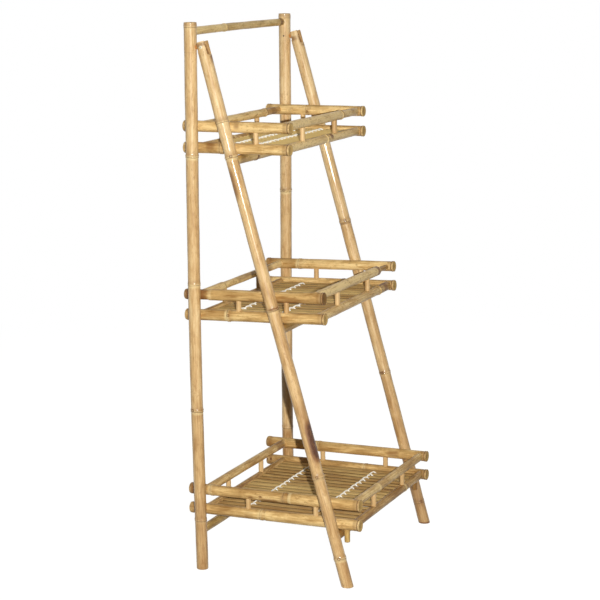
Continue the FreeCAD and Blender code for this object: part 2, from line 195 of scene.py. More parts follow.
@dataclass
class Culm:
    """One bamboo pole, from its start to its end.

    bows are a share with the y and z, in millimetres, by which the axis lies off there, tones
    lighten or darken each internode, steps are (share, factor) pairs where the skin rises in a
    rounded shoulder, and floor_end cuts the start level with the floor.
    """

    name: str
    start: Vector
    end: Vector
    start_radius: float
    end_radius: float
    marks: tuple[NodeMark, ...] = ()
    # Patches on the skin: stains, a few of painted shade and one painted highlight.
    stains: tuple[StainOrPaintedLight, ...] = ()
    tones: tuple[float, ...] = (0.0,)
    cuts: tuple[EndCut, EndCut] = (EndCut.SEPTUM, EndCut.SEPTUM)
    bows: tuple[tuple[float, float, float], ...] = ()
    steps: tuple[tuple[float, float], ...] = ()
    floor_end: bool = False
    sides: int = 40
    ring_step: float = 5.0 * MM
    wall: float = 3.4 * MM
    hollow_mm: float = 30.0
    chamfer: float = 1.3 * MM
    most: float = 13.8 * MM
    seed: int = 0

    def rings_along(self, length: float) -> np.ndarray:
        """Places the mesh rings, close together at nodes and ends.

        Args:
            length: the pole's length.
        Returns:
            The rings' distances from the start.
        """
        near_node, near_end = np.array(NEAR_NODE) * MM, np.array(NEAR_END) * MM
        shares = [mark.share for mark in self.marks] + [share for share, _ in self.steps]
        places = [np.arange(0, length, self.ring_step), near_end, length - near_end]
        places += [share * length + near_node for share in shares]
        rings = np.unique(np.round(np.concatenate(places), 5))
        rings = rings[(rings >= 0) & (rings <= length)]
        rings = rings[np.concatenate(([True], np.diff(rings) > 0.1 * MM))]
        rings[-1] = length
        return rings

    def radii(self, s: np.ndarray, a: np.ndarray, length: float) -> np.ndarray:
        """Works out the pole's radius over its rings and sides.

        Args:
            s: distance from the start at each ring and side.
            a: angle round the pole there, in radians.
            length: the pole's length.
        Returns:
            The radius there.
        """
        rng = np.random.default_rng(self.seed)
        radius = self.start_radius + (self.end_radius - self.start_radius) * s / length
        radius *= 1 + 0.012 * np.cos(2 * (a - rng.uniform(0, math.pi)))
        for turns, reach, depth in WAVES:
            phase = rng.uniform(0, 2 * math.pi, 2)
            radius += depth * MM * np.sin(turns * a + phase[0]) * np.sin(s / reach * 2 * math.pi + phase[1])
        for mark in self.marks:
            d = (s - mark.share * length) / MM
            for part, middle, width in NODE_SHAPE:
                radius += part * mark.rise * MM * bell((d - middle) / width)
            if mark.bud is not None:
                across = turn_from(a, mark.bud) * self.start_radius / MM
                reach = np.sqrt((across / 3.4) ** 2 + ((d - 3.2) / 3.6) ** 2)
                radius += 0.6 * MM * bell((reach - 0.85) / 0.35) - 0.5 * MM * bell(reach / 0.5)
        for share, factor in self.steps:
            inside = np.clip((s - share * length) / (3.2 * MM), 0, 1)
            radius *= 1 + (factor - 1) * np.sqrt(1 - (1 - inside) ** 2)
        for cut, inset in zip(self.cuts, (s, length - s)):
            if cut is not EndCut.BUTT:
                part = np.clip(1 - inset / self.chamfer, 0, 1)
                radius -= self.chamfer * 0.85 * (1 - np.sqrt(1 - part ** 2))
        return np.minimum(radius, self.most)

    def surface_marks(self, s: np.ndarray, a: np.ndarray, length: float) -> dict[str, np.ndarray]:
        """Works out what the finish reads from the surface.

        Args:
            s: distance from the start at each ring and side.
            a: angle round the pole there, in radians.
            length: the pole's length.
        Returns:
            The named values there.
        """
        rng = np.random.default_rng(self.seed + 500)
        from_node = np.full(s.shape, FAR_FROM_NODE)
        bud, pale, stain, tone = (np.zeros(s.shape) for _ in range(4))
        for mark in self.marks:
            wave = 0.5 * MM * np.sin(a + rng.uniform(0, 6)) + 0.3 * MM * np.sin(2 * a + rng.uniform(0, 6))
            past = s - mark.share * length
            nearer = np.abs(past + wave) < np.abs(from_node)
            from_node = np.where(nearer, past + wave, from_node)
            pale = np.where(nearer, mark.pale, pale)
            if mark.bud is not None:
                across = turn_from(a, mark.bud) * self.start_radius / MM
                reach = np.sqrt((across / 3.2) ** 2 + ((past / MM - 3.2) / 3.4) ** 2)
                bud = np.maximum(bud, bell((reach - 0.75) / 0.3) + 0.5 * bell(reach / 0.35))
        # Sums stains, painted shade and the painted highlight into one mask.
        for patch in self.stains:
            over = 1.0
            if patch.spread < ALL_ROUND:
                turn = np.abs(turn_from(a, patch.angle))
                over = np.clip(1.5 - 1.5 * turn / math.radians(patch.spread), 0, 1)
            run = np.clip(1.6 - 1.6 * np.abs(s - patch.share * length) / (patch.reach * MM), 0, 1)
            stain += patch.depth * over * run * (3 - 2 * run) * run
        bounds = [0.0] + [mark.share for mark in self.marks] + [1.0]
        for index, (low, high) in enumerate(zip(bounds, bounds[1:])):
            inside = (s >= low * length) & (s <= high * length)
            given = self.tones[index % len(self.tones)]
            tone = np.where(inside, given + rng.uniform(-0.12, 0.12), tone)
        return {"from_node": from_node, "bud": bud, "stain": stain, "tone": tone, "pale": pale}

    def end_steps(self, cut: EndCut, rim: float) -> np.ndarray:
        """Returns an end's inner rings as rows of radius share, depth in millimetres and bareness."""
        if cut is EndCut.SEPTUM:
            return np.array(WEB)
        inner, deep = 1 - self.wall / rim, self.hollow_mm
        return np.array(((0.98, 0.0, 0.6), (inner + 0.03, 0.0, 1), (inner, 0.3, 1), (inner, 3, 1),
                         (inner, deep * 0.5, 1), (inner, deep, 1), (inner * 0.5, deep + 0.5, 1)))

    def build(self) -> Object:
        """Makes the pole's mesh and object.

        Returns:
            The new object, at the origin.
        """
        length = (self.end - self.start).length
        along_way = (self.end - self.start).normalized()
        out = (TO_CAMERA - along_way * TO_CAMERA.dot(along_way)).normalized()
        across = along_way.cross(out)
        angle = np.arange(self.sides) / self.sides * 2 * math.pi - math.pi
        s, a = np.meshgrid(self.rings_along(length), angle, indexing="ij")
        radius = self.radii(s, a, length)
        values = self.surface_marks(s, a, length)
        values["cut"] = np.zeros(s.shape)
        rings = [(s, radius, values)]
        for row, inward, cut in ((0, 1, self.cuts[0]), (-1, -1, self.cuts[1])):
            if cut is EndCut.BUTT:
                continue
            share, depth, bare = self.end_steps(cut, radius[row].mean()).T[..., None]
            extra = {key: np.repeat(value[row][None, :], len(share), 0) for key, value in values.items()}
            extra["cut"] = np.repeat(bare, self.sides, 1)
            extra["from_node"] = np.full(extra["cut"].shape, FAR_FROM_NODE)
            inner = (s[row] + inward * depth * MM, radius[row] * share, extra)
            if row == 0:
                rings.insert(0, (inner[0][::-1], inner[1][::-1], {k: v[::-1] for k, v in extra.items()}))
            else:
                rings.append(inner)
        s, radius = (np.concatenate([part[place] for part in rings]) for place in (0, 1))
        values = {key: np.concatenate([part[2][key] for part in rings]) for key in values}
        a = np.repeat(angle[None, :], len(s), 0)
        radial = np.cos(a)[..., None] * np.array(out) + np.sin(a)[..., None] * np.array(across)
        points = np.array(self.start) + s[..., None] * np.array(along_way) + self.bow_at(s / length)
        points += radial * radius[..., None]
        if self.floor_end:
            drop = points[..., 2] - s * along_way.z
            weight = np.clip(1 - s / (30 * MM), 0, 1)[..., None] ** 2
            points -= weight * (drop / along_way.z)[..., None] * np.array(along_way)
        place = np.stack((radius * np.cos(a), radius * np.sin(a), s), -1)
        return self.to_object(points, place, radius / radius.max(), values)

    def bow_at(self, share: np.ndarray) -> np.ndarray:
        """Returns how far the axis lies off its straight line at each share of the length."""
        off = np.zeros(share.shape + (3,))
        if self.bows:
            places, *lines = zip(*self.bows)
            fine = np.linspace(0, 1, 201)
            kernel = np.hanning(31)
            for part, line in enumerate(lines, 1):
                bent = np.pad(np.interp(fine, places, np.array(line) * MM), 15, "edge")
                off[..., part] = np.interp(share, fine, np.convolve(bent, kernel / kernel.sum(), "valid"))
        return off

    def to_object(self, points: np.ndarray, place: np.ndarray, spread: np.ndarray,
                  values: dict[str, np.ndarray]) -> Object:
        """Turns the rings into a closed mesh object with its named values.

        Args:
            points: each vertex's place.
            place: its place in the pole's own straight frame.
            spread: its distance from the axis as a share of the pole's greatest.
            values: the named values.
        Returns:
            The new object.
        """
        count, sides = spread.shape
        first, last, top = count * sides, count * sides + 1, (count - 1) * sides
        faces = grid_faces(count, sides)
        faces += [(first, (k + 1) % sides, k) for k in range(sides)]
        faces += [(last, top + k, top + (k + 1) % sides) for k in range(sides)]
        vertices = np.concatenate((points.reshape(-1, 3), [points[0].mean(0), points[-1].mean(0)]))
        piece = new_piece(self.name, vertices.tolist(), faces)
        tips = [[0, 0, place[0, 0, 2]], [0, 0, place[-1, 0, 2]]]
        shift = np.random.default_rng(self.seed + 900).uniform(0, 5, 3)
        name_values(piece.data, "place", np.concatenate((place.reshape(-1, 3), tips)) + shift)
        for key, value in values.items():
            name_values(piece.data, key, np.append(value.ravel(), (value[0, 0], value[-1, 0])))
        name_values(piece.data, "spread", np.append(spread.ravel(), (0.0, 0.0)))
        return piece


Colour = tuple[float, float, float, float]


class Graph:
    """Adds nodes and links to a node tree."""

    def __init__(self, tree: NodeTree) -> None:
        """Keeps the tree."""
        self.tree = tree

    def add(self, kind: str, inputs: dict | None = None, **settings: object) -> Node:
        """Adds a node.

        Args:
            kind: the node's type name.
            inputs: values or source sockets, by socket name or index.
            settings: the node's own properties.
        Returns:
            The new node.
        """
        node = self.tree.nodes.new(kind)
        for key, value in settings.items():
            setattr(node, key, value)
        for key, value in (inputs or {}).items():
            if isinstance(value, NodeSocket):
                self.tree.links.new(value, node.inputs[key])
            else:
                node.inputs[key].default_value = value
        return node

    def take(self, kind: str, inputs: dict | None = None, **settings: object) -> NodeSocket:
        """Adds a node and returns its first output."""
        return self.add(kind, inputs, **settings).outputs[0]

    def math(self, operation: str, *values: object) -> NodeSocket:
        """Adds a math node and returns its output."""
        return self.take("ShaderNodeMath", dict(enumerate(values)), operation=operation)

    def plus(self, *values: object) -> NodeSocket:
        """Returns the sum of the values, added from the first to the last."""
        return reduce(lambda first, second: self.math("ADD", first, second), values)

    def times(self, *values: object) -> NodeSocket:
        """Returns the product of the values, multiplied from the first to the last."""
        return reduce(lambda first, second: self.math("MULTIPLY", first, second), values)

    def minus(self, first: object, second: object) -> NodeSocket:
        """Returns the first value less the second."""
        return self.math("SUBTRACT", first, second)

    def vector(self, operation: str, *values: object) -> NodeSocket:
        """Adds a vector math node and returns its output."""
        node = self.add("ShaderNodeVectorMath", dict(enumerate(values)), operation=operation)
        return node.outputs["Value" if operation in ("LENGTH", "DOT_PRODUCT") else "Vector"]

    def xyz(self, x: object = 0.0, y: object = 0.0, z: object = 0.0) -> NodeSocket:
        """Returns a vector made of three values."""
        return self.take("ShaderNodeCombineXYZ", {0: x, 1: y, 2: z})

    def split(self, vector: object) -> NodeOutputs:
        """Returns the three values of a vector."""
        return self.add("ShaderNodeSeparateXYZ", {0: vector}).outputs

    def remap(self, value: object, low: float, high: float, to_low: float = 0.0, to_high: float = 1.0,
              smooth: bool = True) -> NodeSocket:
        """Adds a clamped map range and returns its output."""
        return self.take("ShaderNodeMapRange", {0: value, 1: low, 2: high, 3: to_low, 4: to_high},
                         interpolation_type="SMOOTHSTEP" if smooth else "LINEAR")

    def mix(self, factor: object, first: object, second: object) -> NodeSocket:
        """Adds a colour mix and returns its output. Its colours are sockets 6 and 7, and its result is 2."""
        return self.add("ShaderNodeMix", {0: factor, 6: first, 7: second}, data_type="RGBA",
                        clamp_result=True).outputs[2]

    def noise(self, vector: object, scale: float, detail: float = 3.0, roughness: float = 0.55,
              distortion: float = 0.0) -> NodeSocket:
        """Adds a noise texture and returns its value."""
        return self.take("ShaderNodeTexNoise", {"Vector": vector, "Scale": scale, "Detail": detail,
                                                "Roughness": roughness, "Distortion": distortion})

    def attribute(self, label: str, output: str = "Fac") -> NodeSocket:
        """Returns one of a mesh's named values, in a material."""
        return self.add("ShaderNodeAttribute", attribute_name=label).outputs[output]

    def named(self, label: str) -> NodeSocket:
        """Returns one of a mesh's named values, in a geometry tree."""
        return self.take("GeometryNodeInputNamedAttribute", {"Name": label}, data_type="FLOAT")

    def store(self, geometry: object, label: str, value: object, domain: str = "POINT") -> NodeSocket:
        """Returns the geometry with a named value on its points, or on its instances."""
        return self.take("GeometryNodeStoreNamedAttribute", {
            "Geometry": geometry, "Name": label, "Value": value}, data_type="FLOAT", domain=domain)

    def random(self, low: object, high: object, seed: object, kind: str = "FLOAT") -> NodeSocket:
        """Returns a random number or vector between two limits.

        Args:
            low: the lower limit.
            high: the upper limit.
            seed: the seed.
            kind: FLOAT for a number, whose limits are sockets 2 and 3, or FLOAT_VECTOR, with 0 and 1.
        Returns:
            The random value.
        """
        at = 2 if kind == "FLOAT" else 0
        node = self.add("FunctionNodeRandomValue", {at: low, at + 1: high, "Seed": seed}, data_type=kind)
        return node.outputs[at // 2]

    def tube(self, curve: object, radius: object, sides: int) -> NodeSocket:
        """Returns a round, capped tube along a curve."""
        ring_node = self.take("GeometryNodeCurvePrimitiveCircle", {"Resolution": sides, "Radius": 1.0})
        spread = self.take("GeometryNodeSetCurveRadius", {"Curve": curve, "Radius": radius})
        return self.take("GeometryNodeCurveToMesh", {
            "Curve": spread, "Profile Curve": ring_node, "Scale": self.take("GeometryNodeInputRadius"),
            "Fill Caps": True})

    def finish_mesh(self, geometry: object, material: object) -> NodeTree:
        """Ends a geometry tree with a smooth mesh of one material, and returns the tree."""
        smooth = self.take("GeometryNodeSetShadeSmooth", {"Geometry": geometry, "Shade Smooth": True})
        dressed = self.take("GeometryNodeSetMaterial", {"Geometry": smooth, "Material": material})
        self.add("NodeGroupOutput", {0: dressed})
        return self.tree

    def finish_surface(self, colour: object, rough: object, height: object = None, strength: float = 0.45,
                       distance: float = 0.6 * MM, **more: object) -> None:
        """Ends a material with one shader.

        Args:
            colour: its colour.
            rough: its roughness.
            height: the height of its bumps, if it has any.
            strength: how strongly they show.
            distance: how high they are.
            more: further inputs, with underscores for spaces.
        """
        inputs = {"Base Color": colour, "Roughness": rough}
        inputs.update({key.replace("_", " "): value for key, value in more.items()})
        if height is not None:
            inputs["Normal"] = self.take("ShaderNodeBump", {
                "Strength": strength, "Distance": distance, "Height": height})
        self.add("ShaderNodeOutputMaterial", {0: self.take("ShaderNodeBsdfPrincipled", inputs)})


def srgb(red: float, green: float, blue: float) -> Colour:
    """Returns a linear colour with alpha from sRGB values of 0 to 255."""
    parts = [value / 255 for value in (red, green, blue)]
    linear = [p / 12.92 if p <= 0.04045 else ((p + 0.055) / 1.055) ** 2.4 for p in parts]
    return (linear[0], linear[1], linear[2], 1.0)


def new_group(name: str, kind: str, inputs: tuple[tuple[str, str, object], ...],
              outputs: tuple[tuple[str, str], ...]) -> tuple[Graph, NodeOutputs]:
    """Starts a node group.

    Args:
        name: the group's name.
        kind: the tree's type.
        inputs: name, kind of value and default of each input.
        outputs: name and kind of value of each output.
    Returns:
        The group's graph and the sockets that give its inputs.
    """
    tree = bpy.data.node_groups.new(name, kind)
    for label, value_kind, default in inputs:
        socket = tree.interface.new_socket(label, in_out="INPUT", socket_type="NodeSocket" + value_kind)
        if default is not None:
            socket.default_value = default
    for label, value_kind in outputs:
        tree.interface.new_socket(label, in_out="OUTPUT", socket_type="NodeSocket" + value_kind)
    graph = Graph(tree)
    return graph, graph.add("NodeGroupInput").outputs


def new_material(name: str) -> tuple[Material, Graph]:
    """Starts a material and returns it with its empty graph."""
    material = bpy.data.materials.new(name)
    material.use_nodes = True
    material.node_tree.nodes.clear()
    return material, Graph(material.node_tree)


class BambooGroups:
    """The shader groups that the bamboo finishes share."""

    def __init__(self) -> None:
        """Builds each group once."""
        self.grain = self.build_grain()
        self.bands = self.build_bands()
        self.flesh = self.build_flesh()

    def build_grain(self) -> NodeTree:
        """Returns the group for fibres, streaks, blotches and specks along a pole."""
        labels = ("Fibre", "Streak", "Blotch", "Speck", "Scratch", "Mottle")
        graph, given = new_group("bamboo_grain", "ShaderNodeTree", (("Place", "Vector", None),),
                                 tuple((label, "Float") for label in labels))
        parts = graph.split(given["Place"])

        def texture(share: float, *looks: float) -> NodeSocket:
            """Returns noise whose length along the fibres is cut to a share."""
            return graph.noise(graph.xyz(parts[0], parts[1], graph.times(parts[2], share)), *looks)

        dots = texture(0.6, 900, 2, 0.5)
        area = texture(0.5, 45, 2, 0.5)
        smudge = texture(0.42, 210, 4, 0.68, 0.5)
        values = (texture(0.012, 1500, 2, 0.6), texture(0.05, 380, 4, 0.62, 0.3),
                  texture(0.28, 62, 3, 0.6, 0.6),
                  graph.times(graph.remap(dots, 0.66, 0.74), graph.remap(area, 0.48, 0.66)),
                  graph.remap(texture(0.02, 520, 1, 0.5), 0.62, 0.74),
                  graph.times(graph.remap(smudge, 0.5, 0.68), graph.remap(area, 0.38, 0.6, 0.35, 1.0)))
        graph.add("NodeGroupOutput", dict(zip(labels, values)))
        return graph.tree

    def build_bands(self) -> NodeTree:
        """Returns the group for what shows at a node: the pale band, the dark scar and the brown halo."""
        graph, given = new_group(
            "node_bands", "ShaderNodeTree", (("From Node", "Float", FAR_FROM_NODE), ("Ragged", "Float", 0.5)),
            (("Pale", "Float"), ("Scar", "Float"), ("Halo", "Float")))
        off = graph.plus(given["From Node"], graph.times(graph.minus(given["Ragged"], 0.5), 3.0 * MM))
        scar_off = graph.math("ABSOLUTE", graph.plus(given["From Node"], 0.2 * MM))
        graph.add("NodeGroupOutput", {
            "Pale": graph.times(graph.remap(off, -8.0 * MM, -3.0 * MM), graph.remap(off, 5.0 * MM, 1.0 * MM)),
            "Scar": graph.remap(scar_off, 0.9 * MM, 0.25 * MM),
            "Halo": graph.times(graph.remap(off, 0.5 * MM, 3.5 * MM), graph.remap(off, 15 * MM, 4 * MM))})
        return graph.tree

    def build_flesh(self) -> NodeTree:
        """Returns the group for the cut wood at a pole's end."""
        graph, given = new_group(
            "cut_flesh", "ShaderNodeTree",
            (("Place", "Vector", None), ("Spread", "Float", 1.0), ("Pale", "Color", srgb(218, 184, 118)),
             ("Dark", "Color", srgb(146, 98, 50))), (("Colour", "Color"), ("Height", "Float")))
        flat = graph.vector("MULTIPLY", given["Place"], (1.0, 1.0, 0.02))
        dots = graph.remap(graph.take("ShaderNodeTexVoronoi", {"Vector": flat, "Scale": 1100.0}), 0.32, 0.12)
        rim = graph.remap(given["Spread"], 0.86, 0.97)
        hub = graph.remap(given["Spread"], 0.62, 0.36)
        cloud = graph.remap(graph.noise(flat, 160, 3, 0.6), 0.5, 0.75, 0.0, 0.45)
        dark = graph.plus(graph.math("MAXIMUM", graph.times(dots, 0.45), graph.times(rim, 0.7)),
                          graph.times(hub, 0.25), cloud)
        graph.add("NodeGroupOutput", {
            "Colour": graph.mix(graph.remap(dark, 0, 1, smooth=False), given["Pale"], given["Dark"]),
            "Height": graph.times(dots, -1.0)})
        return graph.tree


@dataclass(frozen=True)
class BambooFinish:
    """One bamboo finish: its colours from light to deep, its sheen and how marked it is."""

    name: str
    light: Colour = srgb(240, 211, 158)
    middle: Colour = srgb(213, 175, 119)
    deep: Colour = srgb(166, 122, 72)
    # Brown of stains, also used for the painted shade patches.
    stain: Colour = srgb(128, 82, 44)
    # Pale of node bands, also used for pale patches, one of which is a painted highlight.
    node_pale_and_highlight: Colour = srgb(232, 206, 150)
    scar: Colour = srgb(104, 66, 34)
    # Deepest brown, of burns and of the far peg's painted shade.
    burn_and_painted_shade: Colour = srgb(78, 44, 30)
    roughness: float = 0.4
    specular: float = 0.2
    coat: float = 0.35
    coat_roughness: float = 0.1
    speckled: float = 1.0
    blotched: float = 0.55
    mottled: float = 0.55

    def build(self, groups: BambooGroups) -> Material:
        """Makes the material.

        Args:
            groups: the shared shader groups.
        Returns:
            The material.
        """
        material, graph = new_material(self.name)
        plus, times, mix, remap, value = graph.plus, graph.times, graph.mix, graph.remap, graph.attribute
        place, stain, bare = value("place", "Vector"), value("stain"), value("cut")
        grain = graph.add("ShaderNodeGroup", {"Place": place}, node_tree=groups.grain).outputs
        bands = graph.add("ShaderNodeGroup", {"From Node": value("from_node"), "Ragged": grain["Blotch"]},
                          node_tree=groups.bands).outputs
        flesh = graph.add("ShaderNodeGroup", {"Place": place, "Spread": value("spread")},
                          node_tree=groups.flesh).outputs

        level = plus(remap(grain["Streak"], 0.34, 0.66, -0.28, 0.28, False),
                     remap(grain["Blotch"], 0.35, 0.7, self.blotched * 0.35, -self.blotched * 0.5),
                     remap(grain["Fibre"], 0.3, 0.7, -0.12, 0.12, False), value("tone"))
        ragged = plus(stain, times(graph.minus(grain["Streak"], 0.5), remap(stain, 0.0, 0.4, 0.0, 1.6)))
        cut = remap(bare, 0.3, 0.9)
        face = mix(remap(stain, 0.7, 1.6, 0, 0.75), flesh["Colour"], self.scar)
        rim = times(remap(bare, 0.1, 0.5), remap(bare, 0.98, 0.7))
        colour = self.middle
        for share, over in (
                (remap(level, 0.0, 0.6, smooth=False), self.light),
                (remap(level, 0.0, -0.7, smooth=False), self.deep),
                # Brown patches: mostly stains, plus painted shade on the far leg's foot, the far peg and one
                # rail's lower side.
                (remap(ragged, 0.1, 1.2, 0, 0.85), self.stain),
                (remap(ragged, 1.1, 2.4, 0, 0.9), self.burn_and_painted_shade),
                # Pale patches: mostly real pale bands, and a painted highlight along the middle tray's near
                # upper rail.
                (remap(stain, -0.05, -1.0, 0, 0.8), self.node_pale_and_highlight),
                (times(grain["Mottle"], self.mottled), self.deep),
                (times(grain["Speck"], 0.85 * self.speckled), self.stain),
                (times(grain["Scratch"], 0.16 * self.speckled), self.stain),
                (times(bands["Pale"], times(value("pale"), 0.62)), self.node_pale_and_highlight),
                (times(bands["Halo"], 0.3), self.stain),
                (times(bands["Scar"], remap(grain["Blotch"], 0.35, 0.6, 0.3, 0.75)), self.scar),
                (remap(value("bud"), 0.2, 0.9, 0, 0.85), self.scar),
                (cut, face),
                (times(rim, 0.75), self.stain)):
            colour = mix(share, colour, over)
        rough = plus(self.roughness - 0.05, times(grain["Blotch"], 0.12), times(cut, 0.3))
        height = plus(graph.minus(plus(times(grain["Fibre"], 0.05), times(grain["Streak"], 0.16)),
                                  times(grain["Scratch"], 0.06)), times(flesh["Height"], cut, 0.25))
        graph.finish_surface(colour, rough, height, Specular_IOR_Level=self.specular,
                             Coat_Weight=remap(cut, 0.0, 1.0, self.coat, 0.0),
                             Coat_Roughness=self.coat_roughness)
        return material


@dataclass(frozen=True)
class WoodFinish:
    """A plain turned or split wood: dowels, tongues, battens and slats.

    fibre_axis is the axis that its fibres follow, 0 for x, 1 for y and 2 for z.
    """

    name: str
    light: Colour
    deep: Colour
    fibre_axis: int = 2
    roughness: float = 0.5
    specular: float = 0.3
    # side is painted shade: a dark colour laid on the slats' sides and undersides so the gaps between them
    # look shaded.
    side: Colour | None = None

    def build(self, groups: BambooGroups) -> Material:
        """Makes the material.

        Args:
            groups: the shared shader groups.
        Returns:
            The material.
        """
        material, graph = new_material(self.name)
        plus, times, mix, remap, value = graph.plus, graph.times, graph.mix, graph.remap, graph.attribute
        parts = graph.split(graph.add("ShaderNodeTexCoord").outputs["Object"])
        first, second = (axis for axis in range(3) if axis != self.fibre_axis)
        tone = value("tone")
        shift = times(tone, 3.7)
        place = graph.xyz(plus(parts[first], shift), parts[second], plus(parts[self.fibre_axis], shift))
        grain = graph.add("ShaderNodeGroup", {"Place": place}, node_tree=groups.grain).outputs
        bands = graph.add("ShaderNodeGroup", {"From Node": value("from_node")}, node_tree=groups.bands)
        level = plus(remap(grain["Streak"], 0.32, 0.68, -0.35, 0.35, False),
                     remap(grain["Blotch"], 0.3, 0.7, -0.25, 0.25, False),
                     remap(grain["Fibre"], 0.3, 0.7, -0.2, 0.2, False), tone)
        colour = mix(remap(level, -0.6, 0.7, smooth=False), self.deep, self.light)
        colour = mix(times(bands.outputs["Scar"], times(value("has_node"), 0.6)), colour, self.deep)
        # Painted shade on the sides and undersides, with less of it on lighter slats.
        if self.side is not None:
            colour = mix(times(value("side"), remap(tone, -0.3, 0.9, 0.95, 0.35)), colour, self.side)
        rough = plus(self.roughness - 0.06, times(grain["Blotch"], 0.14))
        height = plus(times(grain["Fibre"], 0.1), times(grain["Streak"], 0.25))
        graph.finish_surface(colour, rough, height, 0.4, Specular_IOR_Level=self.specular)
        return material


@dataclass(frozen=True)
class CordFinish:
    """The cream lacing cord."""

    name: str = "lacing_cord"
    light: Colour = srgb(252, 250, 240)
    deep: Colour = srgb(232, 222, 196)
    roughness: float = 0.75

    def build(self) -> Material:
        """Returns the material."""
        material, graph = new_material(self.name)
        place = graph.add("ShaderNodeTexCoord").outputs["Object"]
        fuzz = graph.noise(place, 2600, 3, 0.6)
        soil = graph.noise(place, 90, 2, 0.5)
        colour = graph.mix(graph.remap(soil, 0.45, 0.75, 0.0, 0.6), self.light, self.deep)
        colour = graph.mix(graph.remap(fuzz, 0.55, 0.8, 0.0, 0.35), colour, self.deep)
        graph.finish_surface(colour, self.roughness, fuzz, 0.5, 0.2 * MM)
        return material


@dataclass(frozen=True)
class SteelFinish:
    """A small steel fastener."""

    name: str
    colour: Colour
    worn: Colour
    roughness: float = 0.38

    def build(self) -> Material:
        """Returns the material."""
        material, graph = new_material(self.name)
        place = graph.add("ShaderNodeTexCoord").outputs["Object"]
        tarnish = graph.remap(graph.noise(place, 700, 4, 0.6), 0.42, 0.7)
        rough = graph.plus(self.roughness, graph.times(tarnish, 0.25))
        graph.finish_surface(graph.mix(tarnish, self.colour, self.worn), rough, Metallic=1.0)
        return material


class Finishes:
    """Every material of the etagere, each made once."""

    def __init__(self) -> None:
        """Builds the shared groups and the materials."""
        groups = BambooGroups()
        self.pole = BambooFinish("pole_bamboo").build(groups)
        # Its light colour is set high, partly as painted light: the bars lie nearly along the key's direction
        # and catch it at a grazing angle.
        self.bar = BambooFinish("bar_bamboo", light=srgb(252, 222, 156), middle=srgb(210, 174, 106),
                                deep=srgb(148, 110, 56), specular=0.1, coat=0.08, mottled=0.6).build(groups)
        self.rail = BambooFinish("rail_bamboo", light=srgb(253, 222, 158), middle=srgb(211, 173, 111),
                                 deep=srgb(152, 110, 58), specular=0.08, coat=0.07, blotched=0.7, mottled=0.6,
                                 speckled=1.2).build(groups)
        # Its side colour is painted shade on the slats' sides and undersides.
        self.slat = WoodFinish("slat_bamboo", srgb(254, 224, 150), srgb(176, 134, 78), fibre_axis=1,
                               roughness=0.6, specular=0.12, side=srgb(96, 68, 36)).build(groups)
        self.batten = WoodFinish("batten_bamboo", srgb(206, 168, 108), srgb(140, 100, 54),
                                 fibre_axis=0).build(groups)
        self.spacer = WoodFinish("spacer_bamboo", srgb(232, 200, 146), srgb(188, 148, 94), fibre_axis=2,
                                 roughness=0.45, specular=0.3).build(groups)
        self.hinge_wood = WoodFinish("hinge_wood", srgb(214, 150, 84), srgb(150, 88, 40),
                                     fibre_axis=1).build(groups)
        self.cord = CordFinish().build()
        self.screw = SteelFinish("screw_steel", srgb(214, 206, 182), srgb(150, 136, 104)).build()
        self.nail = SteelFinish("nail_steel", srgb(96, 84, 70), srgb(60, 44, 32), 0.5).build()


def carry(piece: Object, body: str, slot: str, *nodes: str) -> Object:
    """Puts a finished piece on its body in place of its CAD nodes.

    Args:
        piece: the finished object.
        body: the body it rides on.
        slot: the record's material slot; not used.
        nodes: the CAD nodes that it stands for.
    Returns:
        The piece.
    """
    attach(piece, body)
    if nodes:
        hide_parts(*nodes)
    log.info("%s rides on %s with %d faces", piece.name, body, len(piece.data.polygons))
    return piece


def dress(piece: Object, material: Material) -> Object:
    """Gives a piece its one material and returns it."""
    piece.data.materials.clear()
    piece.data.materials.append(material)
    return piece


def add_object(mesh: Mesh) -> Object:
    """Puts a mesh in the scene as an object of the same name."""
    piece = bpy.data.objects.new(mesh.name, mesh)
    bpy.context.scene.collection.objects.link(piece)
    return piece


def bake(piece: Object, modifier: Modifier) -> Mesh:
    """Returns the mesh that a modifier makes of a piece, and takes the modifier away."""
    graph = bpy.context.evaluated_depsgraph_get()
    mesh = bpy.data.meshes.new_from_object(piece.evaluated_get(graph), preserve_all_data_layers=True,
                                           depsgraph=graph)
    piece.modifiers.remove(modifier)
    return mesh


def run_tree(name: str, tree: NodeTree, values: dict[str, object],
             points: Mesh | None = None, place: Matrix | None = None) -> Object:
    """Runs a geometry tree and keeps its result as a plain mesh.

    Args:
        name: the piece's name.
        tree: the geometry node tree.
        values: its input values by label.
        points: a mesh handed to the tree.
        place: a transform for the result.
    Returns:
        The new object, at the origin.
    """
    carrier = add_object(points or bpy.data.meshes.new(name + "_seed"))
    modifier = carrier.modifiers.new("tree", "NODES")
    modifier.node_group = tree
    for item in tree.interface.items_tree:
        if item.item_type == "SOCKET" and item.in_out == "INPUT" and item.name in values:
            modifier[item.identifier] = values[item.name]
    mesh = bake(carrier, modifier)
    bpy.data.objects.remove(carrier)
    mesh.name = name
    if place is not None:
        mesh.transform(place)
    return add_object(mesh)


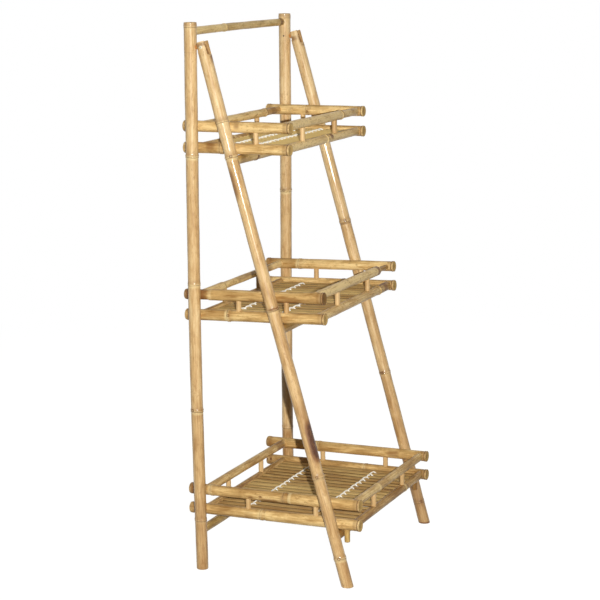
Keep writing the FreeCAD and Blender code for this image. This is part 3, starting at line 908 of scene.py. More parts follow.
class Trees:
    """The geometry trees for what repeats: slats, dowels and lacing."""

    def __init__(self) -> None:
        """Builds each tree once."""
        self.slats = self.build_slats()
        self.dowels = self.build_dowels()
        self.lacing = self.build_lacing()

    def build_slats(self) -> NodeTree:
        """Returns the tree that lays a field of split slats side by side."""
        graph, given = new_group(
            "slat_field", "GeometryNodeTree",
            (("Geometry", "Geometry", None), ("Count", "Int", 17), ("Pitch", "Float", 0.02),
             ("Width", "Float", 0.017), ("Length", "Float", 0.2), ("Thickness", "Float", 0.0036),
             ("First", "Vector", (0.0, 0.0, 0.0)), ("Seed", "Int", 1), ("Tone", "Float", 0.0),
             ("Material", "Material", None)), (("Geometry", "Geometry"),))
        take, plus, times, minus, seed = graph.take, graph.plus, graph.times, graph.minus, given["Seed"]
        line = take("GeometryNodeMeshLine", {"Count": given["Count"], "Start Location": given["First"],
                                             "Offset": graph.xyz(given["Pitch"])})
        block = take("GeometryNodeMeshCube", {
            "Size": graph.xyz(given["Width"], given["Length"], given["Thickness"]),
            "Vertices X": 13, "Vertices Y": 56, "Vertices Z": 4})
        parts = graph.split(take("GeometryNodeInputPosition"))
        across = graph.math("ABSOLUTE", graph.math("DIVIDE", times(parts[0], 2.0), given["Width"]))
        # Marks the sides and undersides, where the slat finish paints shade.
        side = graph.math("MAXIMUM", graph.remap(across, 0.82, 0.97),
                          graph.remap(parts[2], 0.4 * MM, -0.8 * MM))
        edge = graph.math("POWER", across, 2.2)
        top = graph.remap(parts[2], -0.4 * MM, 1.5 * MM)
        waist = times(minus(1.0, top), times(graph.math("POWER", edge, 3.0), 0.35 * MM))
        shaped = take("GeometryNodeSetPosition", {
            "Geometry": graph.store(block, "side", side),
            "Offset": graph.xyz(z=plus(times(edge, top, -1.7 * MM), waist))})
        laid = take("GeometryNodeInstanceOnPoints", {
            "Points": line, "Instance": shaped,
            "Rotation": graph.random((0, -0.03, -0.0012), (0, 0.03, 0.0012), seed, "FLOAT_VECTOR"),
            "Scale": graph.xyz(graph.random(0.88, 1.06, seed), 1.0, graph.random(0.85, 1.0, plus(seed, 3)))})
        tone = plus(given["Tone"], graph.random(-0.36, 0.36, plus(seed, 11)))
        toned = graph.store(laid, "tone", tone, "INSTANCE")
        marked = graph.store(toned, "node_share", graph.random(-0.75, 0.75, plus(seed, 23)), "INSTANCE")
        real = take("GeometryNodeRealizeInstances", {0: marked})

        where = graph.split(graph.vector("SUBTRACT", take("GeometryNodeInputPosition"), given["First"]))
        from_node = minus(where[1], times(graph.named("node_share"), times(given["Length"], 0.5)))
        near = graph.math("DIVIDE", from_node, 2.2 * MM)
        swell = graph.math("EXPONENT", times(near, near, -1.0))
        wave = graph.add("ShaderNodeTexNoise", {
            "Vector": graph.xyz(times(graph.named("tone"), 40.0), where[1]), "Scale": 14.0, "Detail": 2.0})
        sway = graph.vector("MULTIPLY", graph.vector("SUBTRACT", wave.outputs["Color"], (0.5, 0.5, 0.5)),
                            (0.8 * MM, 0.0, 0.9 * MM))
        moved = take("GeometryNodeSetPosition", {
            "Geometry": real, "Offset": graph.vector("ADD", sway, graph.xyz(z=times(swell, 0.25 * MM)))})
        stored = graph.store(graph.store(moved, "from_node", from_node), "has_node", 1.0)
        return graph.finish_mesh(stored, given["Material"])

    def build_dowels(self) -> NodeTree:
        """Returns the tree that stands a dowel on each point, as long as the point's own value says."""
        graph, given = new_group(
            "dowel_row", "GeometryNodeTree",
            (("Geometry", "Geometry", None), ("Radius", "Float", 0.004), ("Slack", "Float", 0.025),
             ("Seed", "Int", 1), ("Material", "Material", None)), (("Geometry", "Geometry"),))
        take, times = graph.take, graph.times
        rings = 12
        line = take("GeometryNodeMeshLine", {"Count": rings, "Start Location": (0, 0, -0.5),
                                             "Offset": (0, 0, 1 / (rings - 1))})
        share = take("GeometryNodeSplineParameter")
        taper = graph.remap(graph.math("ABSOLUTE", graph.minus(times(share, 2.0), 1.0)), 0.9, 1.0, 1.0, 0.86)
        wobble = graph.remap(graph.noise(graph.xyz(share), 5.0, 1, 0.5), 0.3, 0.7, 0.96, 1.04, False)
        peg = graph.tube(take("GeometryNodeMeshToCurve", {0: line}),
                         times(given["Radius"], times(taper, wobble)), 20)
        slack = given["Slack"]
        back = times(slack, -1.0)
        placed = take("GeometryNodeInstanceOnPoints", {
            "Points": given["Geometry"], "Instance": peg,
            "Rotation": graph.random(graph.xyz(back, back), graph.xyz(slack, slack), given["Seed"],
                                     "FLOAT_VECTOR"),
            "Scale": graph.xyz(1.0, 1.0, graph.named("dowel_length"))})
        toned = graph.store(placed, "tone", graph.random(-0.3, 0.3, graph.plus(given["Seed"], 5)), "INSTANCE")
        return graph.finish_mesh(take("GeometryNodeRealizeInstances", {0: toned}), given["Material"])

    def build_lacing(self) -> NodeTree:
        """Returns the tree that winds a twisted cord round slats and batten, one loop a gap."""
        graph, given = new_group(
            "lacing_row", "GeometryNodeTree",
            (("Geometry", "Geometry", None), ("Loops", "Int", 16), ("Pitch", "Float", 0.02),
             ("Half Width", "Float", 0.008), ("Half Height", "Float", 0.006),
             ("First", "Vector", (0.0, 0.0, 0.0)), ("Cord Radius", "Float", 0.0009), ("Strands", "Int", 3),
             ("Twist Length", "Float", 0.007), ("Seed", "Float", 1.0), ("Material", "Material", None)),
            (("Geometry", "Geometry"),))
        take, plus, times, minus = graph.take, graph.plus, graph.times, graph.minus
        per_loop = 40.0
        line = take("GeometryNodeMeshLine", {"Count": times(given["Loops"], per_loop), "Offset": (MM, 0, 0)})
        loop = graph.math("DIVIDE", take("GeometryNodeInputIndex"), per_loop)
        whole, part = graph.math("FLOOR", loop), graph.math("FRACT", loop)
        turn = times(part, 2 * math.pi)

        def squared(value: NodeSocket) -> NodeSocket:
            """Returns a wave with its corners pushed out."""
            return times(graph.math("SIGN", value), graph.math("POWER", graph.math("ABSOLUTE", value), 0.5))

        draw = graph.add("ShaderNodeTexWhiteNoise", {"Vector": graph.xyz(whole, given["Seed"])},
                         noise_dimensions="3D").outputs["Color"]
        jitter = graph.split(graph.vector("SUBTRACT", draw, (0.5, 0.5, 0.5)))
        y = times(squared(graph.math("SINE", turn)), given["Half Width"])
        z = times(squared(graph.math("COSINE", turn)), times(given["Half Height"], -1.0))
        over = graph.remap(z, 0.0, 5 * MM)
        y = plus(times(y, graph.remap(z, 0.8 * MM, 2.8 * MM, 1.0, 0.28)), times(jitter[1], 2.0 * MM, over))
        z = plus(z, times(plus(jitter[2], 0.5), times(over, 0.35 * MM)))
        run = graph.remap(plus(part, times(jitter[0], 0.03)), 0.405, 0.53)
        dip = minus(times(run, 2.0), 1.0)
        z = plus(z, times(times(dip, dip), times(over, -1.5 * MM)))
        spot = graph.vector("ADD", graph.xyz(times(plus(whole, run), given["Pitch"]), y, z), given["First"])
        path = take("GeometryNodeSetPosition", {"Geometry": line, "Position": spot})
        even = take("GeometryNodeResampleCurve", {
            "Curve": take("GeometryNodeMeshToCurve", {0: path}), "Length": 0.9 * MM}, mode="LENGTH")
        copies = graph.add("GeometryNodeDuplicateElements", {
            "Geometry": even, "Amount": given["Strands"]}, domain="SPLINE").outputs
        lay = graph.math("DIVIDE", copies[1], given["Strands"])
        travelled = graph.add("GeometryNodeSplineParameter").outputs[1]
        angle = times(plus(lay, graph.math("DIVIDE", travelled, given["Twist Length"])), 2 * math.pi)
        normal = take("GeometryNodeInputNormal")
        side = graph.vector("CROSS_PRODUCT", take("GeometryNodeInputTangent"), normal)
        out = times(given["Cord Radius"], 0.5)
        pushed = [take("ShaderNodeVectorMath", {0: way, "Scale": times(graph.math(wave, angle), out)},
                       operation="SCALE") for way, wave in ((normal, "COSINE"), (side, "SINE"))]
        laid = take("GeometryNodeSetPosition", {
            "Geometry": copies[0], "Offset": graph.vector("ADD", *pushed)})
        cords = graph.tube(laid, times(given["Cord Radius"], 0.56), 6)
        return graph.finish_mesh(take("GeometryNodeRealizeInstances", {0: cords}), given["Material"])


def turned_piece(name: str, profile: list[tuple[float, float]], origin: Vector, axis: Vector,
                 sides: int = 32) -> Object:
    """Makes a lathe-turned piece.

    Args:
        name: the piece's name.
        profile: radius and height pairs, in millimetres, from one tip to the other.
        origin: where height zero lies.
        axis: the way that height runs, of length 1.
        sides: how many sides it has.
    Returns:
        The new object.
    """
    out = axis.orthogonal().normalized()
    across = axis.cross(out)
    turns = [2 * math.pi * k / sides for k in range(sides)]
    vertices = [origin + axis * (height * MM) + (out * math.cos(a) + across * math.sin(a)) * (radius * MM)
                for radius, height in profile for a in turns]
    return new_piece(name, vertices, capped_faces(len(profile), sides))


def merge(name: str, pieces: list[Object]) -> Object:
    """Joins pieces into one object.

    Args:
        name: the joined piece's name.
        pieces: the objects to join.
    Returns:
        The one object left.
    """
    with bpy.context.temp_override(active_object=pieces[0], selected_editable_objects=pieces):
        bpy.ops.object.join()
    pieces[0].name = name
    pieces[0].data.name = name
    return pieces[0]


def cut_with(piece: Object, low: Vector, high: Vector) -> None:
    """Cuts a box out of a piece.

    Args:
        piece: the piece to cut.
        low: one corner of the box.
        high: the opposite corner.
    """
    sides = [sorted(pair) for pair in zip(low, high)]
    corners = [(x, y, z) for x in sides[0] for y in sides[1] for z in sides[2]]
    faces = [(0, 1, 3, 2), (4, 6, 7, 5), (0, 4, 5, 1), (2, 3, 7, 6), (0, 2, 6, 4), (1, 5, 7, 3)]
    mesh = bpy.data.meshes.new("cutter")
    mesh.from_pydata(corners, [], faces)
    for key, value in (("cut", 1.0), ("from_node", FAR_FROM_NODE), ("spread", 0.7)):
        name_values(mesh, key, [value] * len(corners))
    name_values(mesh, "place", corners)
    cutter = add_object(mesh)
    modifier = piece.modifiers.new("slot", "BOOLEAN")
    modifier.object = cutter
    modifier.solver = "EXACT"
    piece.data = bake(piece, modifier)
    bpy.data.objects.remove(cutter)


def cross_pole(name: str, y: float, z: float, radii: tuple[float, float], **looks: object) -> Culm:
    """Returns a pole from left to right whose ends are hidden in the posts or legs."""
    reach = POST_X - BAR_SHORT
    return Culm(name, Vector((-reach, y, z)), Vector((reach, y, z)), *radii, cuts=(EndCut.BUTT, EndCut.BUTT),
                sides=36, **looks)


@dataclass
class RearFrame:
    """The upright frame: two posts, the bar and the stretcher between them, and the hinge tongues."""

    finishes: Finishes
    height: float = 1100 * MM
    foot_radius: float = 12.1 * MM
    top_radius: float = 12.7 * MM
    bar_height: float = 1082.4 * MM
    bar_radius: float = 7.6 * MM
    stretcher_height: float = 79.98 * MM
    stretcher_radius: float = 8.7 * MM
    tongue_radius_mm: float = 5.0
    tongue_start: float = 5.0 * MM
    nail_out: float = 12.2 * MM

    def build(self) -> None:
        """Makes every piece of the frame."""
        self.build_posts()
        self.build_bars()
        self.build_tongues()

    def build_posts(self) -> None:
        """Makes the two posts."""
        looks = {
            Hand.LEFT: dict(
                marks=(NodeMark(0.0927, pale=0.3), NodeMark(0.299, -40, 1.0), NodeMark(0.532, rise=0.6),
                       NodeMark(0.763, rise=1.0, pale=1.3), NodeMark(0.9915, rise=0.5, pale=0.5)),
                tones=(-0.34, -0.24, -0.05, 0.08, 0.1, 0.1),
                bows=((0, -1.5, 0), (0.25, 2.2, 0), (0.42, 3.4, 0), (0.6, 2.4, 0), (1, -1.6, 0)), seed=11),
            Hand.RIGHT: dict(
                marks=(NodeMark(0.169, rise=0.6, pale=0.4), NodeMark(0.42, rise=0.6),
                       NodeMark(0.652, -20, 1.0, 1.3), NodeMark(0.9915, rise=0.5, pale=0.5)),
                stains=(StainOrPaintedLight(0.56, 20, 75, 50, 0.6), StainOrPaintedLight(0.3, 90, 60, 80, 0.4)),
                tones=(-0.35, 0.1, 0.0, 0.3, 0.3),
                bows=((0, 2.0, 0), (0.15, 4.5, 0), (0.5, 2.2, 0), (0.75, -1.2, 0), (1, -2.4, 0)), seed=12)}
        for hand, look in looks.items():
            side = hand.name.lower()
            foot = Vector((hand.value * POST_X, POST_Y, 0))
            post = Culm(f"post_{side}", foot, foot + Vector((0, 0, self.height)), self.foot_radius,
                        self.top_radius, sides=48, **look)
            carry(dress(post.build(), self.finishes.pole), "rear_frame", "pole_bamboo", f"rear_post_{side}")

    def build_bars(self) -> None:
        """Makes the top bar and the stretcher."""
        bar = cross_pole(
            "top_bar_pole", POST_Y, self.bar_height, (self.bar_radius * 1.04, self.bar_radius * 0.98),
            # tones=(0.6, 0.35) are raised as painted light for a bar that the key reaches at a grazing angle.
            marks=(NodeMark(0.335, pale=0.5),), tones=(0.6, 0.35),
            bows=((0, 0, 0), (0.45, 0, 1.0), (1, 0, 0)),
            stains=(StainOrPaintedLight(0.55, 60, 60, 80, 0.3), ring(0.96, 12, 1.0)), seed=21)
        stretcher = cross_pole(
            "stretcher_pole", POST_Y, self.stretcher_height, (self.stretcher_radius, self.stretcher_radius),
            marks=(NodeMark(0.42),), tones=(-0.3, -0.15), seed=22)
        for culm, node in ((bar, "top_bar"), (stretcher, "rear_stretcher")):
            carry(dress(culm.build(), self.finishes.bar), "rear_frame", "bar_bamboo", node)

    def build_tongues(self) -> None:
        """Makes the wooden tongues that the legs turn on, and the nails that hold them."""
        tongues, nails = [], []
        rounding = ((0.6, 0), (0.82, 0.25), (0.95, 0.7), (0.99, 1.6), (1, 8), (0.985, 20), (1, 40))
        peg = [(self.tongue_radius_mm * share, height) for share, height in rounding]
        dome = [(1.7, 0), (1.65, 0.25), (1.2, 0.5), (0.5, 0.62)]
        for hand in Hand:
            x = hand.value * POST_X
            tongues.append(turned_piece(f"tongue_{hand.name.lower()}", peg,
                                        Vector((x, HINGE_Y - self.tongue_start, HINGE_HEIGHT)),
                                        Vector((0, 1, 0))))
            spot = Vector((x - hand.value * self.nail_out, POST_Y - self.tongue_start, HINGE_HEIGHT))
            nails.append(turned_piece(f"nail_{hand.name.lower()}", dome, spot,
                                      Vector((-hand.value, 0, 0)), 16))
        carry(dress(merge("tongues", tongues), self.finishes.hinge_wood), "rear_frame", "hinge_wood",
              "hinge_tongues")
        carry(dress(merge("tongue_nail_heads", nails), self.finishes.nail), "rear_frame", "nail_steel",
              "tongue_nails")


@dataclass
class FrontFrame:
    """The leaning frame: two slotted legs, three crossbars and the hinge screws.

    crossbars gives where each tray's crossbar lies, as y and z.
    """

    finishes: Finishes
    crossbars: dict[str, tuple[float, float]]
    foot_radius: float = 12.0 * MM
    top_radius: float = 12.6 * MM
    top_rise: float = 10.5 * MM
    bar_radius: float = 8.9 * MM
    slot_half: float = 8.7 * MM
    slot_floors: tuple[float, float] = (9.1 * MM, 13.5 * MM)
    slot_reach: float = 30.0 * MM

    def build(self) -> None:
        """Makes every piece of the frame."""
        self.build_legs()
        self.build_crossbars()
        self.build_screws()

    def build_legs(self) -> None:
        """Makes the two legs, slotted at the top for the tongues."""
        looks = {
            Hand.LEFT: dict(
                marks=(NodeMark(0.0516, -10, 1.0), NodeMark(0.203, -15, 1.2, 0.5),
                       NodeMark(0.511, 50, 1.1, 0.6), NodeMark(0.789, -5, 1.1),
                       NodeMark(0.853, rise=0.5, pale=0.6)),
                stains=(StainOrPaintedLight(0.268, 50, 62, 84, 3.2), StainOrPaintedLight(0.32, 40, 40, 60, 0.6),
                        StainOrPaintedLight(0.745, 42, -55, 50, 0.9), StainOrPaintedLight(0.965, 14, 62, 40, 0.8),
                        StainOrPaintedLight(0.98, 20, 90, 70, 0.8), ring(0.995, 5, 0.9), StainOrPaintedLight(0.45, 50, -50, 60, 0.35),
                        StainOrPaintedLight(0.3, 60, -70, 60, 0.3), StainOrPaintedLight(0.513, 4, 5, 60, 1.6), ring(0.2, 3, 0.5)),
                tones=(-0.2, -0.05, 0.0, -0.1, 0.3, 0.3),
                bows=((0, 0, 0), (0.3, 0, 0), (0.65, 3.5, 1), (0.85, 3.0, 1), (1, 0, 0)), seed=31),
            Hand.RIGHT: dict(
                marks=(NodeMark(0.042, 20, 0.3, 0.0), NodeMark(0.308, -30, 0.8, 0.2),
                       NodeMark(0.616, 0, 1.1, 0.3)),
                stains=(StainOrPaintedLight(0.98, 20, 60, 60, 1.0), StainOrPaintedLight(0.985, 8, -40, 60, 0.9),
                        StainOrPaintedLight(0.66, 30, -60, 60, 0.3), StainOrPaintedLight(0.12, 60, -50, 80, 0.7),
                        # ring(0.065, 46, 0.6) is painted shade: it darkens the far leg low down, near its
                        # foot.
                        StainOrPaintedLight(0.54, 40, -80, 60, 0.4), StainOrPaintedLight(0.15, 60, 70, 80, 0.35), ring(0.065, 46, 0.6),
                        ring(0.6135, 3, 1.0), StainOrPaintedLight(0.311, 4, -35, 60, 0.9), ring(0.0, 5, 1.3)),
                tones=(-0.35, -0.12, 0.05, 0.3), seed=32)}
        way = Vector((0, math.sin(LEAN), math.cos(LEAN)))
        for hand, look in looks.items():
            side, x = hand.name.lower(), hand.value * POST_X
            top = Vector((0, HINGE_Y, HINGE_HEIGHT)) + way * self.top_rise
            culm = Culm(f"leg_{side}", Vector((x, POST_Y - FOOT_FORWARD, 0)), top + Vector((x, 0, 0)),
                        self.foot_radius, self.top_radius, cuts=(EndCut.SEPTUM, EndCut.OPEN), floor_end=True,
                        sides=48, **look)
            leg = culm.build()
            for reach, floor in zip((self.slot_reach, -self.slot_reach), self.slot_floors):
                cut_with(leg, Vector((x - self.slot_half, HINGE_Y, HINGE_HEIGHT - floor)),
                         Vector((x + self.slot_half, HINGE_Y + reach, HINGE_HEIGHT + self.slot_reach)))
            carry(dress(leg, self.finishes.pole), "front_frame", "pole_bamboo", f"front_leg_{side}")

    def build_crossbars(self) -> None:
        """Makes the three crossbars."""
        looks = {
            "top": ((NodeMark(0.205, rise=1.0, pale=0.2),), (0.1, 0.2),
                    (ring(0.205, 4, 2.2), ring(0.05, 20, 0.5))),
            "middle": ((NodeMark(0.58),), (-0.1, 0.0), (ring(0.03, 25, 0.5),)),
            "bottom": ((NodeMark(0.3),), (-0.3, -0.2), (ring(0.03, 25, 0.6),))}
        for name, (y, z) in self.crossbars.items():
            marks, tones, stains = looks[name]
            culm = cross_pole(f"crossbar_{name}_pole", y, z, (self.bar_radius, self.bar_radius * 0.98),
                              marks=marks, tones=tones, stains=stains, seed=40 + len(name))
            carry(dress(culm.build(), self.finishes.bar), "front_frame", "bar_bamboo", "crossbar_" + name)

    def build_screws(self) -> None:
        """Makes the hinge screws, each with a domed head and a cross in it."""
        screws = []
        for hand in Hand:
            face = Vector((hand.value * (POST_X + self.top_radius - 0.6 * MM), HINGE_Y, HINGE_HEIGHT))
            out = Vector((hand.value, 0, 0))
            screw = turned_piece(f"screw_{hand.name.lower()}", SCREW, face, out)
            for half in CROSS:
                size = Vector(half) * MM
                cut_with(screw, face + out * 0.9 * MM - size, face + out * 3 * MM + size)
            screws.append(screw)
        carry(dress(merge("screws", screws), self.finishes.screw), "front_frame", "screw_steel",
              "hinge_screws")


@dataclass(frozen=True)
class RailLook:
    """The nodes, stains and painted light, tones and shape of one rail.

    radii are factors on the tray's own, the shifts move the two ends in millimetres, and past
    tenon_share the rail is cut open and only a thin tenon goes on.
    """

    marks: tuple[NodeMark, ...] = ()
    stains: tuple[StainOrPaintedLight, ...] = ()
    tones: tuple[float, ...] = (0.0,)
    radii: tuple[float, float] = (1.0, 1.0)
    cuts: tuple[EndCut, EndCut] = (EndCut.BUTT, EndCut.BUTT)
    start_shift: tuple[float, float, float] = (0, 0, 0)
    end_shift: tuple[float, float, float] = (0, 0, 0)
    steps: tuple[tuple[float, float], ...] = ()
    tenon_share: float | None = None


@dataclass(frozen=True)
class SpacerShares:
    """Where a tray's spacers stand: along the side rails from the rear, along the others from the left."""

    side: tuple[float, float]
    front: tuple[float, float]
    rear: tuple[float, float]


@dataclass
class Tray:
    """One tray: rails, spacers, slats, battens, lacing and the dowels that it turns on."""

    name: str
    finishes: Finishes
    trees: Trees
    height: float
    rail_gap: float
    inset: float
    front_reach: float
    rear_reach: float
    tilt: float
    slats: int
    lacing_shares: tuple[float, float]
    spacers: SpacerShares
    side_looks: dict[str, RailLook]
    cross_looks: dict[str, RailLook]
    seed: int
    rear_radius: float = 11.2 * MM
    front_radius: float = 10.8 * MM
    cross_radius: float = 8.6 * MM
    spacer_radius: float = 5.3 * MM
    front_rail_inset: float = 15.0 * MM
    slat_rise: float = 4.0 * MM
    slat_thickness: float = 3.6 * MM
    slat_gap: float = 2.8 * MM
    slat_seat: float = 3.5 * MM
    # slat_tone is partly painted light: the top tray's slats, lit by the key at a grazing angle, are set much
    # lighter.
    slat_tone: float = 0.0
    batten_width: float = 14.0 * MM
    batten_thickness: float = 5.0 * MM
    cord_radius: float = 1.6 * MM
    cord_room: float = 0.1 * MM
    cross_short: float = 5.0 * MM
    spacer_seat: float = 7.0 * MM
    batten_seat: float = 6.0 * MM
    crossbar_room: float = 0.3 * MM
    peg_radius: float = 5.8 * MM
    peg_hang: float = 25.5 * MM

    def __post_init__(self) -> None:
        """Works out the places that several pieces share."""
        self.rail_x = POST_X - self.inset
        self.front_y = POST_Y - self.front_reach
        self.rear_y = POST_Y + self.rear_reach
        self.length = self.front_reach + self.rear_reach
        self.front_rail_y = self.front_y + self.front_rail_inset
        self.field_half = self.rail_x - self.rear_radius - 0.5 * MM
        self.pitch = 2 * self.field_half / self.slats
        self.slat_top = self.height + self.slat_rise
        self.batten_y = [POST_Y - share * (POST_Y - self.front_rail_y) for share in self.lacing_shares]
        pivot = Vector((0, POST_Y, self.height))
        turn = Matrix.Rotation(-math.radians(self.tilt), 4, "X")
        self.place = Matrix.Translation(pivot) @ turn @ Matrix.Translation(-pivot)

    def build(self) -> None:
        """Makes every piece of the tray."""
        self.build_side_rails()
        self.build_cross_rails()
        self.build_spacers()
        self.build_slats()
        self.build_battens()
        self.build_lacing()
        self.build_dowels()

    def keep(self, piece: Object, slot: str, node: str) -> None:
        """Puts a finished piece on the tray's body in place of one of its CAD nodes."""
        carry(piece, "tray_" + self.name, slot, f"{self.name}_{node}")

    def spot(self, x: float, y: float, z: float, shift: tuple[float, float, float] = (0, 0, 0)) -> Vector:
        """Returns a place on the tilted tray, moved by a shift in millimetres."""
        return self.place @ (Vector((x, y, z)) + Vector(shift) * MM)

    def crossbar_place(self, bar_radius: float) -> tuple[float, float]:
        """Returns where the leg line carries this tray's crossbar, as y and z."""
        slope = math.radians(self.tilt)
        drop = (self.rear_radius + self.crossbar_room + bar_radius) / math.cos(slope)
        y = HINGE_Y - (HINGE_HEIGHT - self.height + drop) * math.tan(LEAN)
        z = self.height + (POST_Y - y) * math.tan(slope) - drop
        return HINGE_Y - (HINGE_HEIGHT - z) * math.tan(LEAN), z

    def build_side_rails(self) -> None:
        """Makes the four side rails, from rear to front, each with a node ring near its ends."""
        near_end = 3.77 * MM / self.length
        for index, (key, look) in enumerate(self.side_looks.items()):
            level, side = key.split("_")
            x = self.rail_x * (-1 if side == "left" else 1)
            z = self.height + (self.rail_gap if level == "upper" else 0)
            ends = [ring(1 - at * MM / self.length, reach, depth)
                    for at, reach, depth in END_RINGS]
            ends.append(ring(9 * MM / self.length, 8, 0.5))
            culm = Culm(f"{self.name}_side_{key}", self.spot(x, self.rear_y, z, look.start_shift),
                        self.spot(x, self.front_y, z, look.end_shift), self.rear_radius * look.radii[0],
                        self.front_radius * look.radii[1], stains=(*look.stains, *ends),
                        marks=(NodeMark(near_end, rise=0.7, pale=0.3), *look.marks,
                               NodeMark(1 - near_end, rise=0.8, pale=0.3)),
                        tones=(look.tones[0], *look.tones, look.tones[-1]), steps=look.steps,
                        ring_step=4 * MM, seed=self.seed + index)
            self.keep(dress(culm.build(), self.finishes.rail), "rail_bamboo", f"side_rail_{key}")

    def build_cross_rails(self) -> None:
        """Makes the four cross rails, from left to right."""
        reach = self.rail_x - self.cross_short
        for index, (key, look) in enumerate(self.cross_looks.items()):
            end_name, level = key.split("_")
            y = self.front_rail_y if end_name == "front" else POST_Y
            z = self.height + (self.rail_gap if level == "upper" else 0)
            start = self.spot(-reach, y, z, look.start_shift)
            end = self.spot(reach, y, z, look.end_shift)
            rail = Culm(f"{self.name}_cross_{key}", start, end, self.cross_radius * look.radii[0],
                        self.cross_radius * look.radii[1], look.marks, look.stains, look.tones, look.cuts,
                        steps=look.steps, sides=36, ring_step=4 * MM, seed=self.seed + 10 + index)
            parts = [rail]
            if look.tenon_share is not None:
                rail.end = start.lerp(end, look.tenon_share)
                parts.append(Culm(rail.name + "_tenon", start.lerp(end, look.tenon_share - 0.12), end,
                                  0.62 * self.cross_radius, 0.6 * self.cross_radius, tones=(-0.2,),
                                  cuts=(EndCut.BUTT, EndCut.BUTT), sides=24, seed=self.seed + 30 + index))
            built = [part.build() for part in parts]
            piece = built[0] if len(built) == 1 else merge(rail.name, built)
            self.keep(dress(piece, self.finishes.rail), "rail_bamboo", f"cross_rail_{key}")

    def build_spacers(self) -> None:
        """Makes the spacer dowels between the upper and the lower rails."""
        middle = self.height + self.rail_gap / 2
        stands = [(side * self.rail_x, self.rear_y - share * self.length, self.front_radius)
                  for side in (-1, 1) for share in self.spacers.side]
        stands += [((2 * share - 1) * self.rail_x, y, self.cross_radius)
                   for shares, y in ((self.spacers.front, self.front_rail_y), (self.spacers.rear, POST_Y))
                   for share in shares]
        points = bpy.data.meshes.new(f"{self.name}_spacer_points")
        points.from_pydata([tuple(self.spot(x, y, middle)) for x, y, _ in stands], [], [])
        name_values(points, "dowel_length",
                    [self.rail_gap - 2 * radius + self.spacer_seat for *_, radius in stands])
        piece = run_tree(f"{self.name}_spacer_dowels", self.trees.dowels, {
            "Radius": self.spacer_radius, "Slack": 0.02, "Seed": self.seed,
            "Material": self.finishes.spacer}, points)
        self.keep(piece, "spacer_bamboo", "spacers")

    def build_slats(self) -> None:
        """Makes the slats."""
        rear = POST_Y - self.cross_radius + self.slat_seat
        front = self.front_rail_y + self.cross_radius - self.slat_seat
        first = Vector((-self.field_half + self.pitch / 2, (rear + front) / 2,
                        self.slat_top - self.slat_thickness / 2))
        piece = run_tree(f"{self.name}_slat_field", self.trees.slats, {
            "Count": self.slats, "Pitch": self.pitch, "Width": self.pitch - self.slat_gap,
            "Length": rear - front, "Thickness": self.slat_thickness, "First": first, "Seed": self.seed,
            "Tone": self.slat_tone, "Material": self.finishes.slat}, place=self.place)
        self.keep(piece, "slat_bamboo", "slats")

    def build_battens(self) -> None:
        """Makes the two battens under the slats, each a split strip with rounded edges."""
        strips = []
        top = self.slat_top - self.slat_thickness
        half = self.rail_x - self.rear_radius + self.batten_seat
        for index, y in enumerate(self.batten_y):
            rng = np.random.default_rng(self.seed + 70 + index)
            steps = np.linspace(-half, half, 50)
            sway = np.interp(steps, np.linspace(-half, half, 9), rng.uniform(-0.35, 0.35, 9))
            vertices = [self.place @ Vector((x, y + (a + off) * MM, top + b * MM))
                        for x, off in zip(steps, sway) for a, b in BATTEN]
            strip = new_piece(f"{self.name}_batten_{index}", vertices,
                              capped_faces(len(steps), len(BATTEN), True))
            strip.data.set_sharp_from_angle(angle=math.radians(40))
            strips.append(strip)
        piece = merge(f"{self.name}_batten_strips", strips)
        self.keep(dress(piece, self.finishes.batten), "batten_bamboo", "battens")

    def build_lacing(self) -> None:
        """Makes the two rows of lacing."""
        rows = []
        deep = self.slat_thickness + self.batten_thickness
        for index, y in enumerate(self.batten_y):
            rows.append(run_tree(f"{self.name}_lacing_{index}", self.trees.lacing, {
                "Loops": self.slats - 2, "Pitch": self.pitch,
                "Half Width": self.batten_width / 2 + self.cord_room + self.cord_radius,
                "Half Height": deep / 2 + self.cord_room + self.cord_radius,
                "First": Vector((-self.field_half + self.pitch, y, self.slat_top - deep / 2)),
                "Cord Radius": self.cord_radius, "Strands": 3, "Twist Length": 7 * MM,
                "Seed": float(self.seed + index), "Material": self.finishes.cord}, place=self.place))
        self.keep(merge(f"{self.name}_lacing_cords", rows), "lacing_cord", "lacing")

    def build_dowels(self) -> None:
        """Makes the two dowels that the tray turns on."""
        dowels = []
        for hand in Hand:
            tip = Vector((hand.value * (POST_X - 2.8 * MM), POST_Y, self.height))
            dowels.append(turned_piece(f"{self.name}_dowel_{hand.name.lower()}",
                                       [(3.4, 0), (3.9, 0.5), (4, 2), (4, 12), (4, 34)], tip,
                                       Vector((-hand.value, 0, 0)), 20))
        self.keep(dress(merge(f"{self.name}_pivots", dowels), self.finishes.hinge_wood), "hinge_wood",
                  "pivot_dowels")

    def build_pegs(self, bar_y: float, bar_radius: float) -> None:
        """Makes the pegs that hook in front of the crossbar.

        Args:
            bar_y: where the crossbar lies.
            bar_radius: the crossbar's radius.
        """
        pegs = []
        y = bar_y - bar_radius - self.crossbar_room - self.peg_radius
        under = self.height - self.front_radius
        for hand in Hand:
            x = hand.value * self.rail_x
            # The far (right) peg's deeper stains are painted shade, as it stands in shadow; the near peg's
            # are its own stains.
            stains = (ring(0.9, 12, 0.9 + 0.5 * hand.value), ring(0.3, 20, 0.35 + 0.35 * hand.value))
            culm = Culm(f"peg_{hand.name.lower()}", Vector((x, y, under - self.peg_hang)),
                        Vector((x, y, under + 8 * MM)), self.peg_radius * 0.97, self.peg_radius,
                        stains=stains, tones=(-0.35,), cuts=(EndCut.SEPTUM, EndCut.BUTT), sides=28,
                        ring_step=2 * MM, seed=90 + hand.value)
            pegs.append(culm.build())
        self.keep(dress(merge("pegs", pegs), self.finishes.bar), "bar_bamboo", "pegs")


